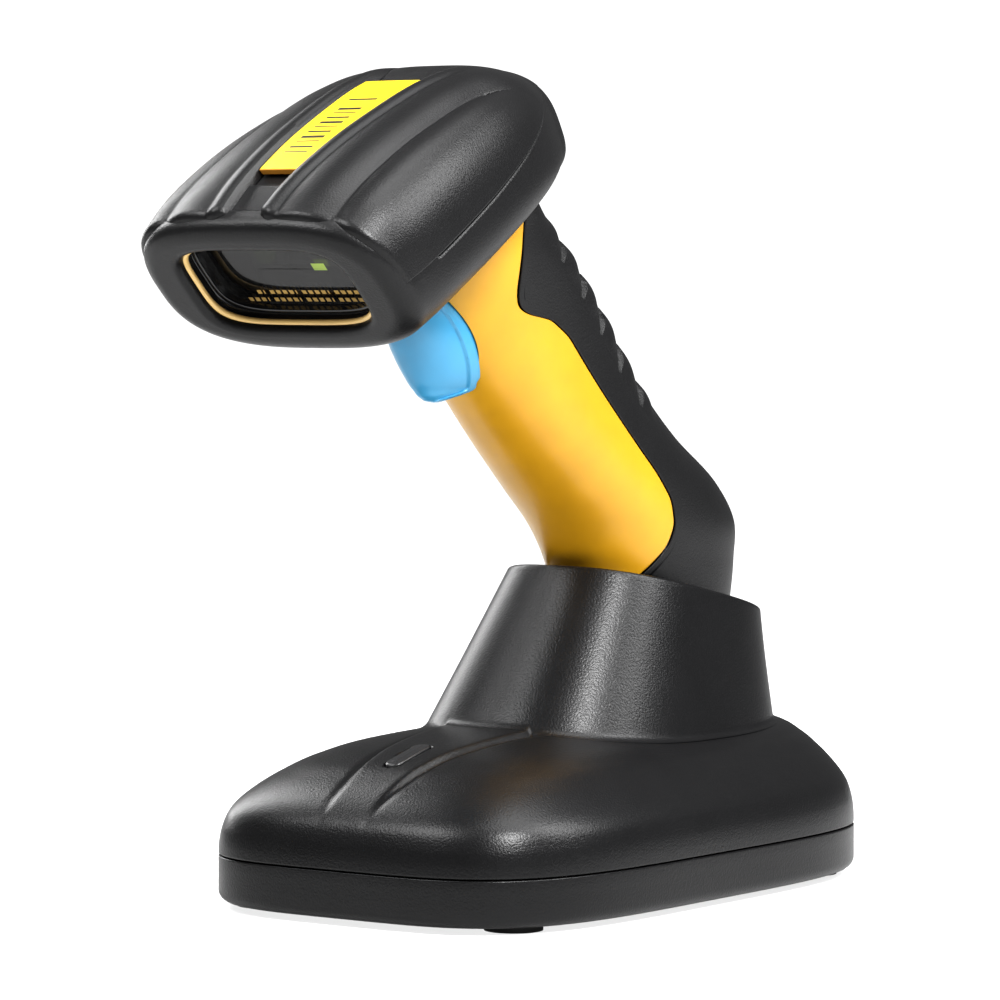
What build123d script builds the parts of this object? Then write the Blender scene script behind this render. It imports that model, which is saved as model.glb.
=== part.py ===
"""Cordless handheld barcode scanner standing in its charging cradle.

Millimetres, +Z up. The origin is the centre of the cradle's footprint on the table,
the scanner looks towards -Y, and X = 0 is the plane of symmetry.
The scanner lifts straight up out of the cradle's cup.
"""

from build123d import *
import os
from math import cos, pi, radians, sin, tan

os.makedirs("parts", exist_ok=True)

# ---------------------------------------------------------------- driving dimensions
WALL = 2.2  # moulded shells
SEAM_GAP = 0.25  # shadow gap between two mouldings
OUTLINE_POINTS = 20  # points of each closed section spline

# cradle
BASE_HALF_WIDTH = 54.8
BASE_HALF_LENGTH = 85.8
BASE_POWER = 4.0  # squareness of the footprint, as a superellipse
FOOT_DROP = 1.5  # how far the rubber feet stand below the tray
FOOT_RADIUS = 7.0
FOOT_X = BASE_HALF_WIDTH - 17.8
FOOT_Y = BASE_HALF_LENGTH - 20.8
TRAY_TOP = 13.0  # seam between tray and upper shell
COLLAR_POWER = 2.6
RIM_FRONT_Y = 3.5  # the collar's rim slopes down towards the back
RIM_FRONT_Z = 81.0
RIM_SLOPE_DEG = 13.0
CUP_WALL = 1.8
CUP_CLEARANCE = 0.8  # between the grip's foot and the cup
REST_GAP = 0.1  # between the grip's foot and the cup's floor

# grip
GRIP_POWER = 2.3
GRIP_FOOT_Z = 46.0

# head: a frame of its own, pitched nose down, -Y forward and +Z up in it
HEAD_Y = -60.0
HEAD_Z = 172.0
HEAD_PITCH_DEG = 30.0
CREASE_U = 6.0  # height of the line where the cover meets the bumper
FACE_F = 52.5  # how far the face stands forward
FACE_U = 4.9  # height of the window's centre
FACE_TILT_DEG = 15.8
FACE_LIP = 3.6  # depth of the bumper's frame in front of the cover
WINDOW_HALF_WIDTH = 25.0
WINDOW_HALF_HEIGHT = 14.0
WINDOW_POWER = 4.0
CHANNEL_DEPTH = 1.2  # sunk middle band that holds the label

# trigger
PIVOT_Y = -37.0
PIVOT_Z = 152.5
PIN_RADIUS = 1.5
PIN_CLEARANCE = 0.05
TRIGGER_HALF_WIDTH = 9.0
PIN_REACH = TRIGGER_HALF_WIDTH + 3.5  # half the length of the trigger's pin
TRIGGER_GAP = 0.35

# charging contacts
CONTACT_PITCH = 3.5
CONTACT_COUNT = 4
CONTACT_Y = 42.0
PAD_RADIUS = 1.3
PIN_PLUNGER_RADIUS = 0.6

# page button on the cradle
BUTTON_Y = -58.0
BUTTON_LENGTH = 18.0
BUTTON_WIDTH = 5.2
BUTTON_GAP = 0.25
BUTTON_TRAVEL = 0.8
BUTTON_PROUD = 0.5

# Cradle dome, from the seam up: height, and how far in it is at the sides, front and back.
DOME_INSETS = [
    (TRAY_TOP + SEAM_GAP, 0.0, 0.0, 0.0),
    (20.0, 0.5, 0.9, 0.3),
    (25.0, 2.2, 3.5, 1.6),
    (29.0, 5.6, 8.6, 3.4),
    (32.5, 9.6, 15.2, 5.2),
    (36.0, 14.8, 23.8, 6.8),
    (39.0, 21.8, 35.8, 8.8),
    (41.2, 32.8, 55.8, 13.8),
]
DOME = [
    (z, BASE_HALF_WIDTH - side, -BASE_HALF_LENGTH + front, BASE_HALF_LENGTH - back)
    for z, side, front, back in DOME_INSETS
]
# Collar: height, half width, front y, back y. It flares towards its foot.
COLLAR = [(34.0, 35.6, -32.3, 77.3), (58.0, 29.6, -14.0, 76.3), (88.0, 22.8, 8.8, 76.4)]
# Tray: height, half width, half length. Its lower edge is rounded.
TRAY = [
    (FOOT_DROP, BASE_HALF_WIDTH - 3.2, BASE_HALF_LENGTH - 3.2),
    (2.4, BASE_HALF_WIDTH - 1.5, BASE_HALF_LENGTH - 1.5),
    (4.6, BASE_HALF_WIDTH - 0.4, BASE_HALF_LENGTH - 0.4),
    (TRAY_TOP, BASE_HALF_WIDTH, BASE_HALF_LENGTH),
]
# Grip, cut level: height, front y, back y, half width.
GRIP_KEYS = [
    (GRIP_FOOT_Z, 16.5, 66.5, 17.0),
    (62.0, 15.2, 69.5, 17.8),
    (80.0, 11.6, 72.9, 18.6),
    (90.0, 4.3, 73.2, 19.2),
    (100.0, -7.7, 65.3, 18.7),
    (112.0, -21.7, 47.4, 17.5),
    (126.0, -36.5, 31.2, 16.6),
    (142.0, -49.0, 16.5, 16.8),
    (158.0, -57.0, -1.0, 18.0),
    (166.0, -59.5, -11.5, 18.5),
    (174.0, -61.5, -21.0, 20.0),
    (186.0, -63.5, -30.0, 23.0),
]
# Heights of the grip's loft sections, closer together where it bends.
GRIP_HEIGHTS = [GRIP_FOOT_Z, 54, 62, 70, 77, 83.5, 90, 96, 102.5, 110, 118, 126, 134, 142, 150, 158, 166, 174, 186]
# Head, from tail to face: forward f, half width, top u, bottom u, widest u, tilt in degrees.
HEAD = [
    (-50.5, 7.0, -4.0, -15.0, -9.0, 0.0),
    (-48.5, 14.0, 1.8, -18.2, -7.5, 0.0),
    (-43.5, 19.6, 8.2, -19.6, -5.0, 0.0),
    (-35.0, 25.6, 15.0, -19.2, -2.0, 0.0),
    (-23.5, 31.8, 21.4, -17.6, 1.0, 0.0),
    (-9.0, 35.8, 26.0, -15.8, 3.0, 0.0),
    (8.0, 37.2, 28.0, -14.6, 4.0, 3.0),
    (26.0, 37.2, 28.3, -14.2, 4.5, 8.0),
    (42.0, 36.4, 27.0, -14.6, 5.0, 13.0),
    (49.0, 35.8, 25.8, -14.4, 5.0, FACE_TILT_DEG),
    (51.5, 35.0, 24.8, -13.6, 5.0, FACE_TILT_DEG),
    (FACE_F, 33.2, 23.0, -12.0, 5.0, FACE_TILT_DEG),
]
HEAD_TOP_POWER = 3.2
HEAD_BOTTOM_POWER = 2.9

head = Location((0, HEAD_Y, HEAD_Z), (HEAD_PITCH_DEG, 0, 0))
face = head * Location((0, -FACE_F, FACE_U), (90 + FACE_TILT_DEG, 0, 0))


# ---------------------------------------------------------------- shape helpers
def slope_at(table, i, column):
    """Slope of a table's column at row i: its neighbours' slopes, weighted towards the nearer."""
    if i in (0, len(table) - 1):
        near, far = (0, 1) if i == 0 else (i - 1, i)
        return (table[far][column] - table[near][column]) / (table[far][0] - table[near][0])
    before, here, after = table[i - 1], table[i], table[i + 1]
    low, high = here[0] - before[0], after[0] - here[0]
    rise_low, rise_high = here[column] - before[column], after[column] - here[column]
    return (high * rise_low / low + low * rise_high / high) / (low + high)


def eased(table, places):
    """Rows of a table at other places, on cubic Hermite curves through its own rows."""
    rows = []
    for place in places:
        i = max(k for k in range(len(table) - 1) if table[k][0] <= place)
        span = table[i + 1][0] - table[i][0]
        t = (place - table[i][0]) / span
        row = [place]
        for column in range(1, len(table[0])):
            start, end = table[i][column], table[i + 1][column]
            leave, arrive = span * slope_at(table, i, column), span * slope_at(table, i + 1, column)
            bend = t * t * (3 - 2 * t)
            row.append(start + (end - start) * bend + t * (1 - t) ** 2 * leave - t * t * (1 - t) * arrive)
        rows.append(tuple(row))
    return rows


GRIP = eased(GRIP_KEYS, GRIP_HEIGHTS)


def radius_at(angle, half_x, half_y, power):
    """Distance from the centre of a superellipse to its edge at this angle."""
    across = abs(cos(angle) / half_x) ** power
    along = abs(sin(angle) / half_y) ** power
    return (across + along) ** (-1 / power)


def oval(half_x, front, back, power, z):
    """Level superellipse face from y = front to y = back at height z."""
    middle, half_y = (front + back) / 2, (back - front) / 2
    points = []
    for i in range(OUTLINE_POINTS):
        angle = 2 * pi * i / OUTLINE_POINTS
        r = radius_at(angle, half_x, half_y, power)
        points.append((r * cos(angle), middle + r * sin(angle), z))
    return make_face(Spline(*points, periodic=True))


def head_section(f, half_width, top, bottom, widest, tilt, inset=0.0):
    """Upright slice of the head at forward distance f, in the head's own frame."""
    points = []
    for i in range(OUTLINE_POINTS):
        angle = 2 * pi * i / OUTLINE_POINTS
        upper = sin(angle) >= 0
        reach = (top - widest if upper else widest - bottom) - inset
        power = HEAD_TOP_POWER if upper else HEAD_BOTTOM_POWER
        r = radius_at(angle, half_width - inset, reach, power)
        u = widest + r * sin(angle)
        y = -(f + (u - FACE_U) * tan(radians(tilt)))
        points.append((r * cos(angle), y, u))
    return make_face(Spline(*points, periodic=True))


def window_oval(inset, depth):
    """Outline of the window opening in the face's frame, this far behind the face."""
    half_x = WINDOW_HALF_WIDTH - inset
    half_y = WINDOW_HALF_HEIGHT - inset
    return oval(half_x, -half_y, half_y, WINDOW_POWER, -depth)


def between(shape_a, shape_b):
    return loft([shape_a, shape_b])


def grown(stations, by):
    """Grip stations with every side moved outwards by this much."""
    return [oval(w + by, front - by, back + by, GRIP_POWER, z) for z, front, back, w in stations]


def box(x0, x1, y0, y1, z0, z1):
    return Pos((x0 + x1) / 2, (y0 + y1) / 2, (z0 + z1) / 2) * Box(x1 - x0, y1 - y0, z1 - z0)


def rod(radius, start, end):
    """Cylinder from one point to another."""
    start, end = Vector(*start), Vector(*end)
    plane = Plane(origin=start, z_dir=end - start)
    return plane * Cylinder(radius, (end - start).length, align=(Align.CENTER, Align.CENTER, Align.MIN))


def coil(radius, wire, turns, length):
    """Compression spring along +Z from the origin, wire centre line on this radius."""
    path = Helix(pitch=(length - 2 * wire) / turns, height=length - 2 * wire, radius=radius)
    start = Plane(origin=path @ 0, z_dir=path % 0)
    return Pos(0, 0, wire) * sweep(start * Circle(wire), path=path)


def save(shape, name):
    export_step(shape, f"parts/{name}.step")


# ---------------------------------------------------------------- cradle
def below_rim(offset=0.0):
    """Everything under the collar's sloping rim, lowered by offset."""
    rim = Location((0, RIM_FRONT_Y, RIM_FRONT_Z - offset), (-RIM_SLOPE_DEG, 0, 0))
    return rim * box(-90, 90, -200, 200, -200, 0)


def dome(inset, lift=0.0):
    slices = [oval(w - inset, f + inset, b - inset, BASE_POWER, z + lift) for z, w, f, b in DOME]
    return loft(slices)


def collar(inset):
    return loft([oval(w - inset, f + inset, b - inset, COLLAR_POWER, z) for z, w, f, b in COLLAR])


def panel_prism(front_half, back_half, front_y, back_y, z0, z1):
    """Upright prism over a symmetrical trapezoid."""
    outline = Polyline(
        (-front_half, front_y), (front_half, front_y), (back_half, back_y), (-back_half, back_y), close=True
    )
    return Pos(0, 0, z0) * extrude(make_face(outline), z1 - z0)


def button_prism(gap, z0, z1):
    slot = SlotOverall(BUTTON_LENGTH + 2 * gap, BUTTON_WIDTH + 2 * gap, rotation=90)
    return Pos(0, BUTTON_Y, z0) * extrude(slot, z1 - z0)


def corners(x, y):
    return [(sx * x, sy * y) for sx in (-1, 1) for sy in (-1, 1)]


BOSS_X, BOSS_Y = BASE_HALF_WIDTH - 14.8, BASE_HALF_LENGTH - 37.8
BOSS_HEIGHT = 30.0  # taller than the dome, which cuts it off
SCREW_REACH = 11.0  # how far the screws go up into the upper shell
BOSS_RADIUS, SCREW_RADIUS, SCREW_HEAD_RADIUS = 3.6, 1.2, 2.6
SCREW_HEAD_DEPTH = 2.0
TRAY_FLOOR = FOOT_DROP + 2.5
BOARD_TOP, BOARD_THICK = 18.0, 1.6
SOCKET_HALF_WIDTH, SOCKET_HEIGHT = 4.7, 3.5
SOCKET_BACK = BASE_HALF_LENGTH - 1.6
SOCKET_FRONT = SOCKET_BACK - 7.7
CUP_FLOOR_TOP = GRIP_FOOT_Z - REST_GAP
CUP_FLOOR = CUP_FLOOR_TOP - CUP_WALL

grip_cup = loft(grown(GRIP, CUP_CLEARANCE)) & box(-60, 60, -60, 120, CUP_FLOOR_TOP, 120)
cup_outside = loft(grown(GRIP, CUP_CLEARANCE + CUP_WALL))
cup_below = Pos(0, 0, -CUP_WALL) * cup_outside
cup_body = (cup_outside + cup_below) & box(-60, 60, -60, 120, CUP_FLOOR, 120)

outer = dome(0) + (collar(0) & below_rim())
PANEL_RAISE = 0.8
panel = (dome(0, PANEL_RAISE) & panel_prism(6.6, 13.0, -86.0, -24.0, 22.0, 60.0)) - dome(0)
hollow = dome(WALL, -WALL) + (collar(WALL) & below_rim(WALL))
hollow += Pos(0, 0, -WALL) * (dome(WALL, -WALL) & box(-60, 60, -90, 90, 0, TRAY_TOP + 4))
shell = outer + panel - hollow
for x, y in corners(BOSS_X, BOSS_Y):
    shell += rod(BOSS_RADIUS, (x, y, TRAY_TOP + SEAM_GAP), (x, y, TRAY_TOP + BOSS_HEIGHT)) & outer
    shell -= rod(SCREW_RADIUS, (x, y, TRAY_TOP), (x, y, TRAY_TOP + SCREW_REACH + 1.0))
shell -= cup_body
shell -= button_prism(BUTTON_GAP, 20, 60)
socket_space = (BOARD_TOP, BOARD_TOP + SOCKET_HEIGHT)
shell -= box(-SOCKET_HALF_WIDTH, SOCKET_HALF_WIDTH, SOCKET_FRONT + 1.5, BASE_HALF_LENGTH + 6, *socket_space)
save(shell, "cradle_upper_shell")

tray_solid = loft([oval(w, -l, l, BASE_POWER, z) for z, w, l in TRAY])
tray_hollow = loft([oval(w - WALL, -l + WALL, l - WALL, BASE_POWER, z + 2.5) for z, w, l in TRAY])
tray = tray_solid - (tray_hollow & box(-60, 60, -90, 90, TRAY_FLOOR, 40))
for x, y in corners(BOSS_X, BOSS_Y):
    tray += rod(BOSS_RADIUS, (x, y, FOOT_DROP + 0.5), (x, y, TRAY_TOP))
    tray -= rod(SCREW_RADIUS + 0.15, (x, y, 0), (x, y, TRAY_TOP + 1))
    tray -= rod(SCREW_HEAD_RADIUS + 0.3, (x, y, 0), (x, y, FOOT_DROP + SCREW_HEAD_DEPTH + 1.0))
FOOT_SINK = 1.0
for x, y in corners(FOOT_X, FOOT_Y):
    tray -= rod(FOOT_RADIUS, (x, y, 0), (x, y, FOOT_DROP + FOOT_SINK))
save(tray, "cradle_tray")

feet = [rod(FOOT_RADIUS, (x, y, 0), (x, y, FOOT_DROP + FOOT_SINK)) for x, y in corners(FOOT_X, FOOT_Y)]
save(Compound(children=feet), "rubber_feet")

head_z = FOOT_DROP + 1.0
cradle_screws = []
for x, y in corners(BOSS_X, BOSS_Y):
    screw = rod(SCREW_HEAD_RADIUS, (x, y, head_z), (x, y, head_z + SCREW_HEAD_DEPTH))
    screw += rod(SCREW_RADIUS, (x, y, head_z), (x, y, TRAY_TOP + SCREW_REACH))
    screw -= Pos(x, y, head_z + 0.5) * Box(0.7, 3.4, 1.0)
    screw -= Pos(x, y, head_z + 0.5) * Box(3.4, 0.7, 1.0)
    cradle_screws.append(screw)
save(Compound(children=cradle_screws), "cradle_screws")

contact_x = [(i - (CONTACT_COUNT - 1) / 2) * CONTACT_PITCH for i in range(CONTACT_COUNT)]
cup = cup_body - grip_cup
cup = cup & below_rim()
for x in contact_x:
    cup -= rod(PIN_PLUNGER_RADIUS + 0.2, (x, CONTACT_Y, CUP_FLOOR - 1), (x, CONTACT_Y, CUP_FLOOR_TOP + 1))
save(cup, "handle_cup")

BLOCK_HEIGHT = 8.0
PLUNGER_FLANGE = 0.95
block_top = CUP_FLOOR
block = box(-8.5, 8.5, CONTACT_Y - 3.5, CONTACT_Y + 3.5, block_top - BLOCK_HEIGHT, block_top)
plungers, coils = [], []
spring_seat = block_top - BLOCK_HEIGHT + 0.8  # floor of the springs' bores
flange_z = block_top - 3.4
for x in contact_x:
    block -= rod(PLUNGER_FLANGE + 0.1, (x, CONTACT_Y, spring_seat), (x, CONTACT_Y, block_top - 1.0))
    block -= rod(PIN_PLUNGER_RADIUS + 0.1, (x, CONTACT_Y, spring_seat), (x, CONTACT_Y, block_top + 1))
    plunger = rod(PIN_PLUNGER_RADIUS, (x, CONTACT_Y, flange_z), (x, CONTACT_Y, GRIP_FOOT_Z - 0.05))
    plunger += rod(PLUNGER_FLANGE, (x, CONTACT_Y, flange_z), (x, CONTACT_Y, flange_z + 0.8))
    plungers.append(plunger)
    coils.append(Pos(x, CONTACT_Y, spring_seat) * coil(0.72, 0.11, 4, flange_z - spring_seat))
save(block, "contact_block")
save(Compound(children=plungers), "contact_plungers")
save(Compound(children=coils), "contact_springs")
block_foot = block_top - BLOCK_HEIGHT
contact_board = box(-14, 14, CONTACT_Y - 9, CONTACT_Y + 9, block_foot - BOARD_THICK, block_foot)
save(contact_board, "contact_board")

board_z = BOARD_TOP - BOARD_THICK
board = box(-28, 28, -66, SOCKET_FRONT - 0.5, board_z, BOARD_TOP)
save(board, "cradle_board")
posts = [(x, y) for x in (-24, 24) for y in (-58, SOCKET_FRONT - 6.5)]
save(Compound(children=[rod(2.2, (x, y, TRAY_FLOOR), (x, y, board_z)) for x, y in posts]), "board_standoffs")
socket = box(-SOCKET_HALF_WIDTH, SOCKET_HALF_WIDTH, SOCKET_FRONT - 2, SOCKET_BACK, *socket_space)
socket = fillet(socket.edges().filter_by(Axis.Y), 1.5)
SOCKET_SKIN = 0.4
middle_z = BOARD_TOP + SOCKET_HEIGHT / 2
mouth_half = SOCKET_HALF_WIDTH - SOCKET_SKIN
mouth_low, mouth_high = BOARD_TOP + SOCKET_SKIN, BOARD_TOP + SOCKET_HEIGHT - SOCKET_SKIN
mouth = box(-mouth_half, mouth_half, SOCKET_FRONT, SOCKET_BACK + 6, mouth_low, mouth_high)
socket -= fillet(mouth.edges().filter_by(Axis.Y), 1.2)
socket += box(-3.2, 3.2, SOCKET_FRONT - 1, SOCKET_BACK - 1, middle_z - 0.35, middle_z + 0.35)
save(socket, "power_socket")
ballast = box(-24, 24, -52, 30, TRAY_FLOOR, TRAY_FLOOR + 5.0)
save(ballast, "ballast_plate")
radio = box(-20, -6, -44, -24, BOARD_TOP, BOARD_TOP + 2.6)
save(radio, "radio_module")
ribbon = box(-6, 6, CONTACT_Y - 0.15, CONTACT_Y + 0.15, BOARD_TOP, block_foot - BOARD_THICK)
save(ribbon, "contact_ribbon")

cap = dome(0, PANEL_RAISE + BUTTON_PROUD) & button_prism(0, 32.0, 60)
stem_top = 33.0
stem_foot = BOARD_TOP + 4.6
button = cap + box(-1.6, 1.6, BUTTON_Y - 2.5, BUTTON_Y + 2.5, stem_foot, stem_top)
save(button, "page_button")
switch = box(-3, 3, BUTTON_Y - 3, BUTTON_Y + 3, BOARD_TOP, BOARD_TOP + 3.2)
switch += rod(1.4, (0, BUTTON_Y, BOARD_TOP + 3), (0, BUTTON_Y, stem_foot - BUTTON_TRAVEL - 0.05))
save(switch, "page_switch")

# ---------------------------------------------------------------- scanner head
head_outer = head * loft([head_section(*s) for s in HEAD])
inner_stations = HEAD[1:-2]
head_inner = head * loft([head_section(*s, inset=WALL) for s in inner_stations])
column = loft(grown(GRIP, 0))
column_inner = loft(grown(GRIP, -WALL))

head_shell = head_outer - head_inner
front_block = face * box(-60, 60, -80, 80, -FACE_LIP, 40)
under_crease = head * box(-60, 60, -120, 120, -80, CREASE_U)
tunnel = (face * between(window_oval(-2.0, -2.0), window_oval(-2.0, 9.0))) & head_outer
opening = face * between(window_oval(0, -12.0), window_oval(0, 12.0))
neck_hole = column_inner & (head * box(-40, 40, -60, 80, -40, CREASE_U - 2))

HEAD_BOSSES = [(26.0, 22.0), (24.0, -24.0)]
BOSS_SPLIT_U = -5.0
cover = head_shell - front_block - under_crease
bumper = (head_shell & (front_block + under_crease)) + tunnel - opening - neck_hole
cover = cover & (head * box(-60, 60, -120, 120, CREASE_U + SEAM_GAP, 80))
for x, f in HEAD_BOSSES:
    for side in (-x, x):
        post = head * rod(3.2, (side, -f, BOSS_SPLIT_U), (side, -f, 40)) & head_outer
        cover += post
        cover -= head * rod(1.1, (side, -f, BOSS_SPLIT_U - 1), (side, -f, BOSS_SPLIT_U + 9))
        pad = head * rod(3.2, (side, -f, -30), (side, -f, BOSS_SPLIT_U)) & head_outer
        bumper = bumper + pad
        bumper -= head * rod(1.25, (side, -f, -30), (side, -f, BOSS_SPLIT_U + 1))
        bumper -= head * rod(2.4, (side, -f, -30), (side, -f, BOSS_SPLIT_U - 2.0))
head_up = Vector(0, -sin(radians(HEAD_PITCH_DEG)), cos(radians(HEAD_PITCH_DEG)))


def sunk(depth):
    """Head solid moved down along its own upward direction."""
    return Pos(*(head_up * -depth)) * head_outer


top_skin = head_outer - sunk(CHANNEL_DEPTH)
cover -= top_skin & (head * panel_prism(6.0, 10.0, -60.0, 12.0, 15.0, 60.0))
save(cover, "head_cover")
save(bumper, "head_bumper")
save(top_skin & (head * panel_prism(5.3, 8.6, -38.0, 8.7, 15.0, 60.0)), "label_plate")

head_screws = []
for x, f in HEAD_BOSSES:
    for side in (-x, x):
        screw = rod(2.2, (side, -f, BOSS_SPLIT_U - 4.0), (side, -f, BOSS_SPLIT_U - 2.0))
        screw += rod(1.1, (side, -f, BOSS_SPLIT_U - 4.0), (side, -f, BOSS_SPLIT_U + 8))
        screw -= Pos(side, -f, BOSS_SPLIT_U - 3.6) * Box(0.6, 2.8, 0.8)
        screw -= Pos(side, -f, BOSS_SPLIT_U - 3.6) * Box(2.8, 0.6, 0.8)
        head_screws.append(head * screw)
save(Compound(children=head_screws), "head_screws")

# window: a gold seal on a step two millimetres in, a black bezel and the glass behind it
SEAL_DEPTH, SEAL_THICK, SEAL_WIDTH = 2.0, 1.0, 1.2
GLASS_DEPTH, GLASS_THICK = 6.8, 1.4
seal = between(window_oval(0, SEAL_DEPTH), window_oval(0, SEAL_DEPTH + SEAL_THICK))
seal -= between(window_oval(SEAL_WIDTH, SEAL_DEPTH - 1), window_oval(SEAL_WIDTH, SEAL_DEPTH + 2))
save(face * seal, "window_seal")
bezel_back = GLASS_DEPTH + GLASS_THICK
bezel = between(window_oval(0, SEAL_DEPTH + SEAL_THICK), window_oval(0, bezel_back))
bezel -= between(window_oval(SEAL_WIDTH + 0.2, 1.0), window_oval(SEAL_WIDTH + 1.6, GLASS_DEPTH))
bezel -= between(window_oval(1.0, GLASS_DEPTH), window_oval(1.0, bezel_back + 1))
save(face * bezel, "window_bezel")
glass = between(window_oval(1.0, GLASS_DEPTH), window_oval(1.0, bezel_back))
save(face * glass, "scan_window")

# scan engine behind the window
ENGINE_F, ENGINE_U, ENGINE_HALF_WIDTH = 38.0, 6.0, 17.0
engine = box(-ENGINE_HALF_WIDTH, ENGINE_HALF_WIDTH, -ENGINE_F, -ENGINE_F + 22, ENGINE_U - 8, ENGINE_U + 8)
engine = fillet(engine.edges().filter_by(Axis.Z), 1.5)
barrel = rod(5.2, (0, -ENGINE_F, ENGINE_U), (0, -ENGINE_F - 3.0, ENGINE_U))
barrel -= rod(4.0, (0, -ENGINE_F + 0.5, ENGINE_U), (0, -ENGINE_F - 3.5, ENGINE_U))
save(head * engine, "scan_engine")
save(head * (barrel - engine), "lens_barrel")
lens = rod(4.0, (0, -ENGINE_F, ENGINE_U), (0, -ENGINE_F - 1.6, ENGINE_U))
save(head * lens, "scan_lens")
leds = [rod(2.6, (x, -ENGINE_F, ENGINE_U + 1), (x, -ENGINE_F - 1.6, ENGINE_U + 1)) for x in (-11.5, 11.5)]
save(Compound(children=[head * led for led in leds]), "flash_leds")
aimer = box(8.0, 11.0, -ENGINE_F - 1.2, -ENGINE_F, ENGINE_U + 4.6, ENGINE_U + 6.6)
save(head * aimer, "aimer_led")
bracket = box(-19, 19, -ENGINE_F + 2, -ENGINE_F + 22, ENGINE_U - 9.2, ENGINE_U - 8)
bracket += box(-19, -ENGINE_HALF_WIDTH, -ENGINE_F + 2, -ENGINE_F + 22, ENGINE_U - 9.2, ENGINE_U + 4)
bracket += box(ENGINE_HALF_WIDTH, 19, -ENGINE_F + 2, -ENGINE_F + 22, ENGINE_U - 9.2, ENGINE_U + 4)
save(head * bracket, "engine_bracket")
main_board = box(-20, 20, -14, 33, -7.0, -5.4)
save(head * main_board, "main_board")
chips = [box(-8, 6, 2, 16, -5.4, -4.0), box(-14, -4, 20, 30, -5.4, -4.2), box(6, 14, 19, 29, -5.4, -3.6)]
save(Compound(children=[head * chip for chip in chips]), "board_chips")
buzzer = rod(6.0, (12, 10, -5.4), (12, 10, 0.2)) - rod(1.0, (12, 10, -2), (12, 10, 1))
save(head * buzzer, "buzzer")
flex = box(-6, 6, -16.0, -15.8, -5.4, -1.9) + box(-6, 6, -16.0, -9.0, -5.4, -5.2)
save(head * flex, "engine_flex")

# ---------------------------------------------------------------- grip
SEAM = [(-34.5, 200), (-34.5, 144), (-19, 142), (27, 99.5), (31.5, 88.5), (14, 70.5), (-8, 65)]
SEAM_RADII = [3.5, 14, 8, 8, 8]
seam_line = FilletPolyline(*SEAM, radius=SEAM_RADII)
rest_line = Polyline(SEAM[-1], (SEAM[-1][0], 20), (120, 20), (120, SEAM[0][1]), SEAM[0])
seam_face = make_face(seam_line + rest_line)
behind_seam = extrude(Plane.YZ * seam_face, 60, both=True)
behind_gap = extrude(Plane.YZ * offset(seam_face, -SEAM_GAP, kind=Kind.INTERSECTION), 60, both=True)

floor_cut = box(-60, 60, -60, 120, GRIP_FOOT_Z + 2.5, 300)
grip_hollow = column - (column_inner & floor_cut) - head_outer
NECK_THICK, NECK_PROUD = 2.6, 1.6
neck_zone = loft(grown(GRIP[-4:], NECK_PROUD))
neck = (sunk(NECK_THICK) - head_outer) & neck_zone
neck -= column_inner
grip_hollow -= sunk(NECK_THICK)

front_shell = grip_hollow - behind_seam
slot_top, slot_bottom = 175.0, 122.0
slot = box(-TRIGGER_HALF_WIDTH - TRIGGER_GAP, TRIGGER_HALF_WIDTH + TRIGGER_GAP, -75, -30.5, slot_bottom, slot_top)
slot = fillet(slot.edges().filter_by(Axis.Y).group_by(Axis.Z)[0], 6.0)
front_shell -= slot
neck -= slot
EAR_RADIUS, EAR_END = 3.4, 16.2
back_shell = grip_hollow & behind_gap
for side in (-1, 1):
    ear_start = (side * (TRIGGER_HALF_WIDTH + 2 * TRIGGER_GAP), PIVOT_Y, PIVOT_Z)
    ear_end = (side * EAR_END, PIVOT_Y, PIVOT_Z)
    front_shell += rod(EAR_RADIUS, ear_start, ear_end)
    front_shell -= rod(PIN_RADIUS, (0, PIVOT_Y, PIVOT_Z), (side * PIN_REACH, PIVOT_Y, PIVOT_Z))
    back_shell -= rod(EAR_RADIUS + SEAM_GAP, ear_start, ear_end)
save(front_shell, "grip_front_shell")
save(neck, "neck_collar")

NOTCH_FIRST = (-9.5, 159.5)
NOTCH_LAST = (31.5, 123.5)
NOTCH_COUNT = 5
NOTCH_DEPTH = 1.3
notch_skin = column - loft(grown(GRIP, -NOTCH_DEPTH))
for i in range(NOTCH_COUNT):
    t = i / (NOTCH_COUNT - 1)
    y = NOTCH_FIRST[0] + t * (NOTCH_LAST[0] - NOTCH_FIRST[0])
    z = NOTCH_FIRST[1] + t * (NOTCH_LAST[1] - NOTCH_FIRST[1])
    wedge = Polyline((y + 8, z + 4.5), (y + 8, z - 3.5), (y - 10, z - 6.5), close=True)
    wedge = extrude(Plane.YZ * make_face(wedge), 40, both=True)
    back_shell -= notch_skin & wedge

DOOR_HALF_WIDTH, DOOR_TOP, DOOR_FOOT = 11.5, 95.0, 53.0
DOOR_SHOULDER = DOOR_TOP - 7.0
door_low = Polyline((-DOOR_HALF_WIDTH, DOOR_SHOULDER), (-DOOR_HALF_WIDTH, DOOR_FOOT), (DOOR_HALF_WIDTH, DOOR_FOOT))
door_side = Line((DOOR_HALF_WIDTH, DOOR_FOOT), (DOOR_HALF_WIDTH, DOOR_SHOULDER))
door_arch = ThreePointArc((DOOR_HALF_WIDTH, DOOR_SHOULDER), (0, DOOR_TOP), (-DOOR_HALF_WIDTH, DOOR_SHOULDER))
door_face = make_face(door_low + door_side + door_arch)
door_region = extrude(Plane.XZ.offset(-110) * door_face, 65)
door_hole = extrude(Plane.XZ.offset(-110) * offset(door_face, SEAM_GAP, kind=Kind.INTERSECTION), 65)
door = back_shell & door_region
back_shell -= door_hole
for x in contact_x:
    back_shell -= rod(PAD_RADIUS, (x, CONTACT_Y, GRIP_FOOT_Z - 1), (x, CONTACT_Y, GRIP_FOOT_Z + 4))
save(back_shell, "grip_back_shell")
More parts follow.
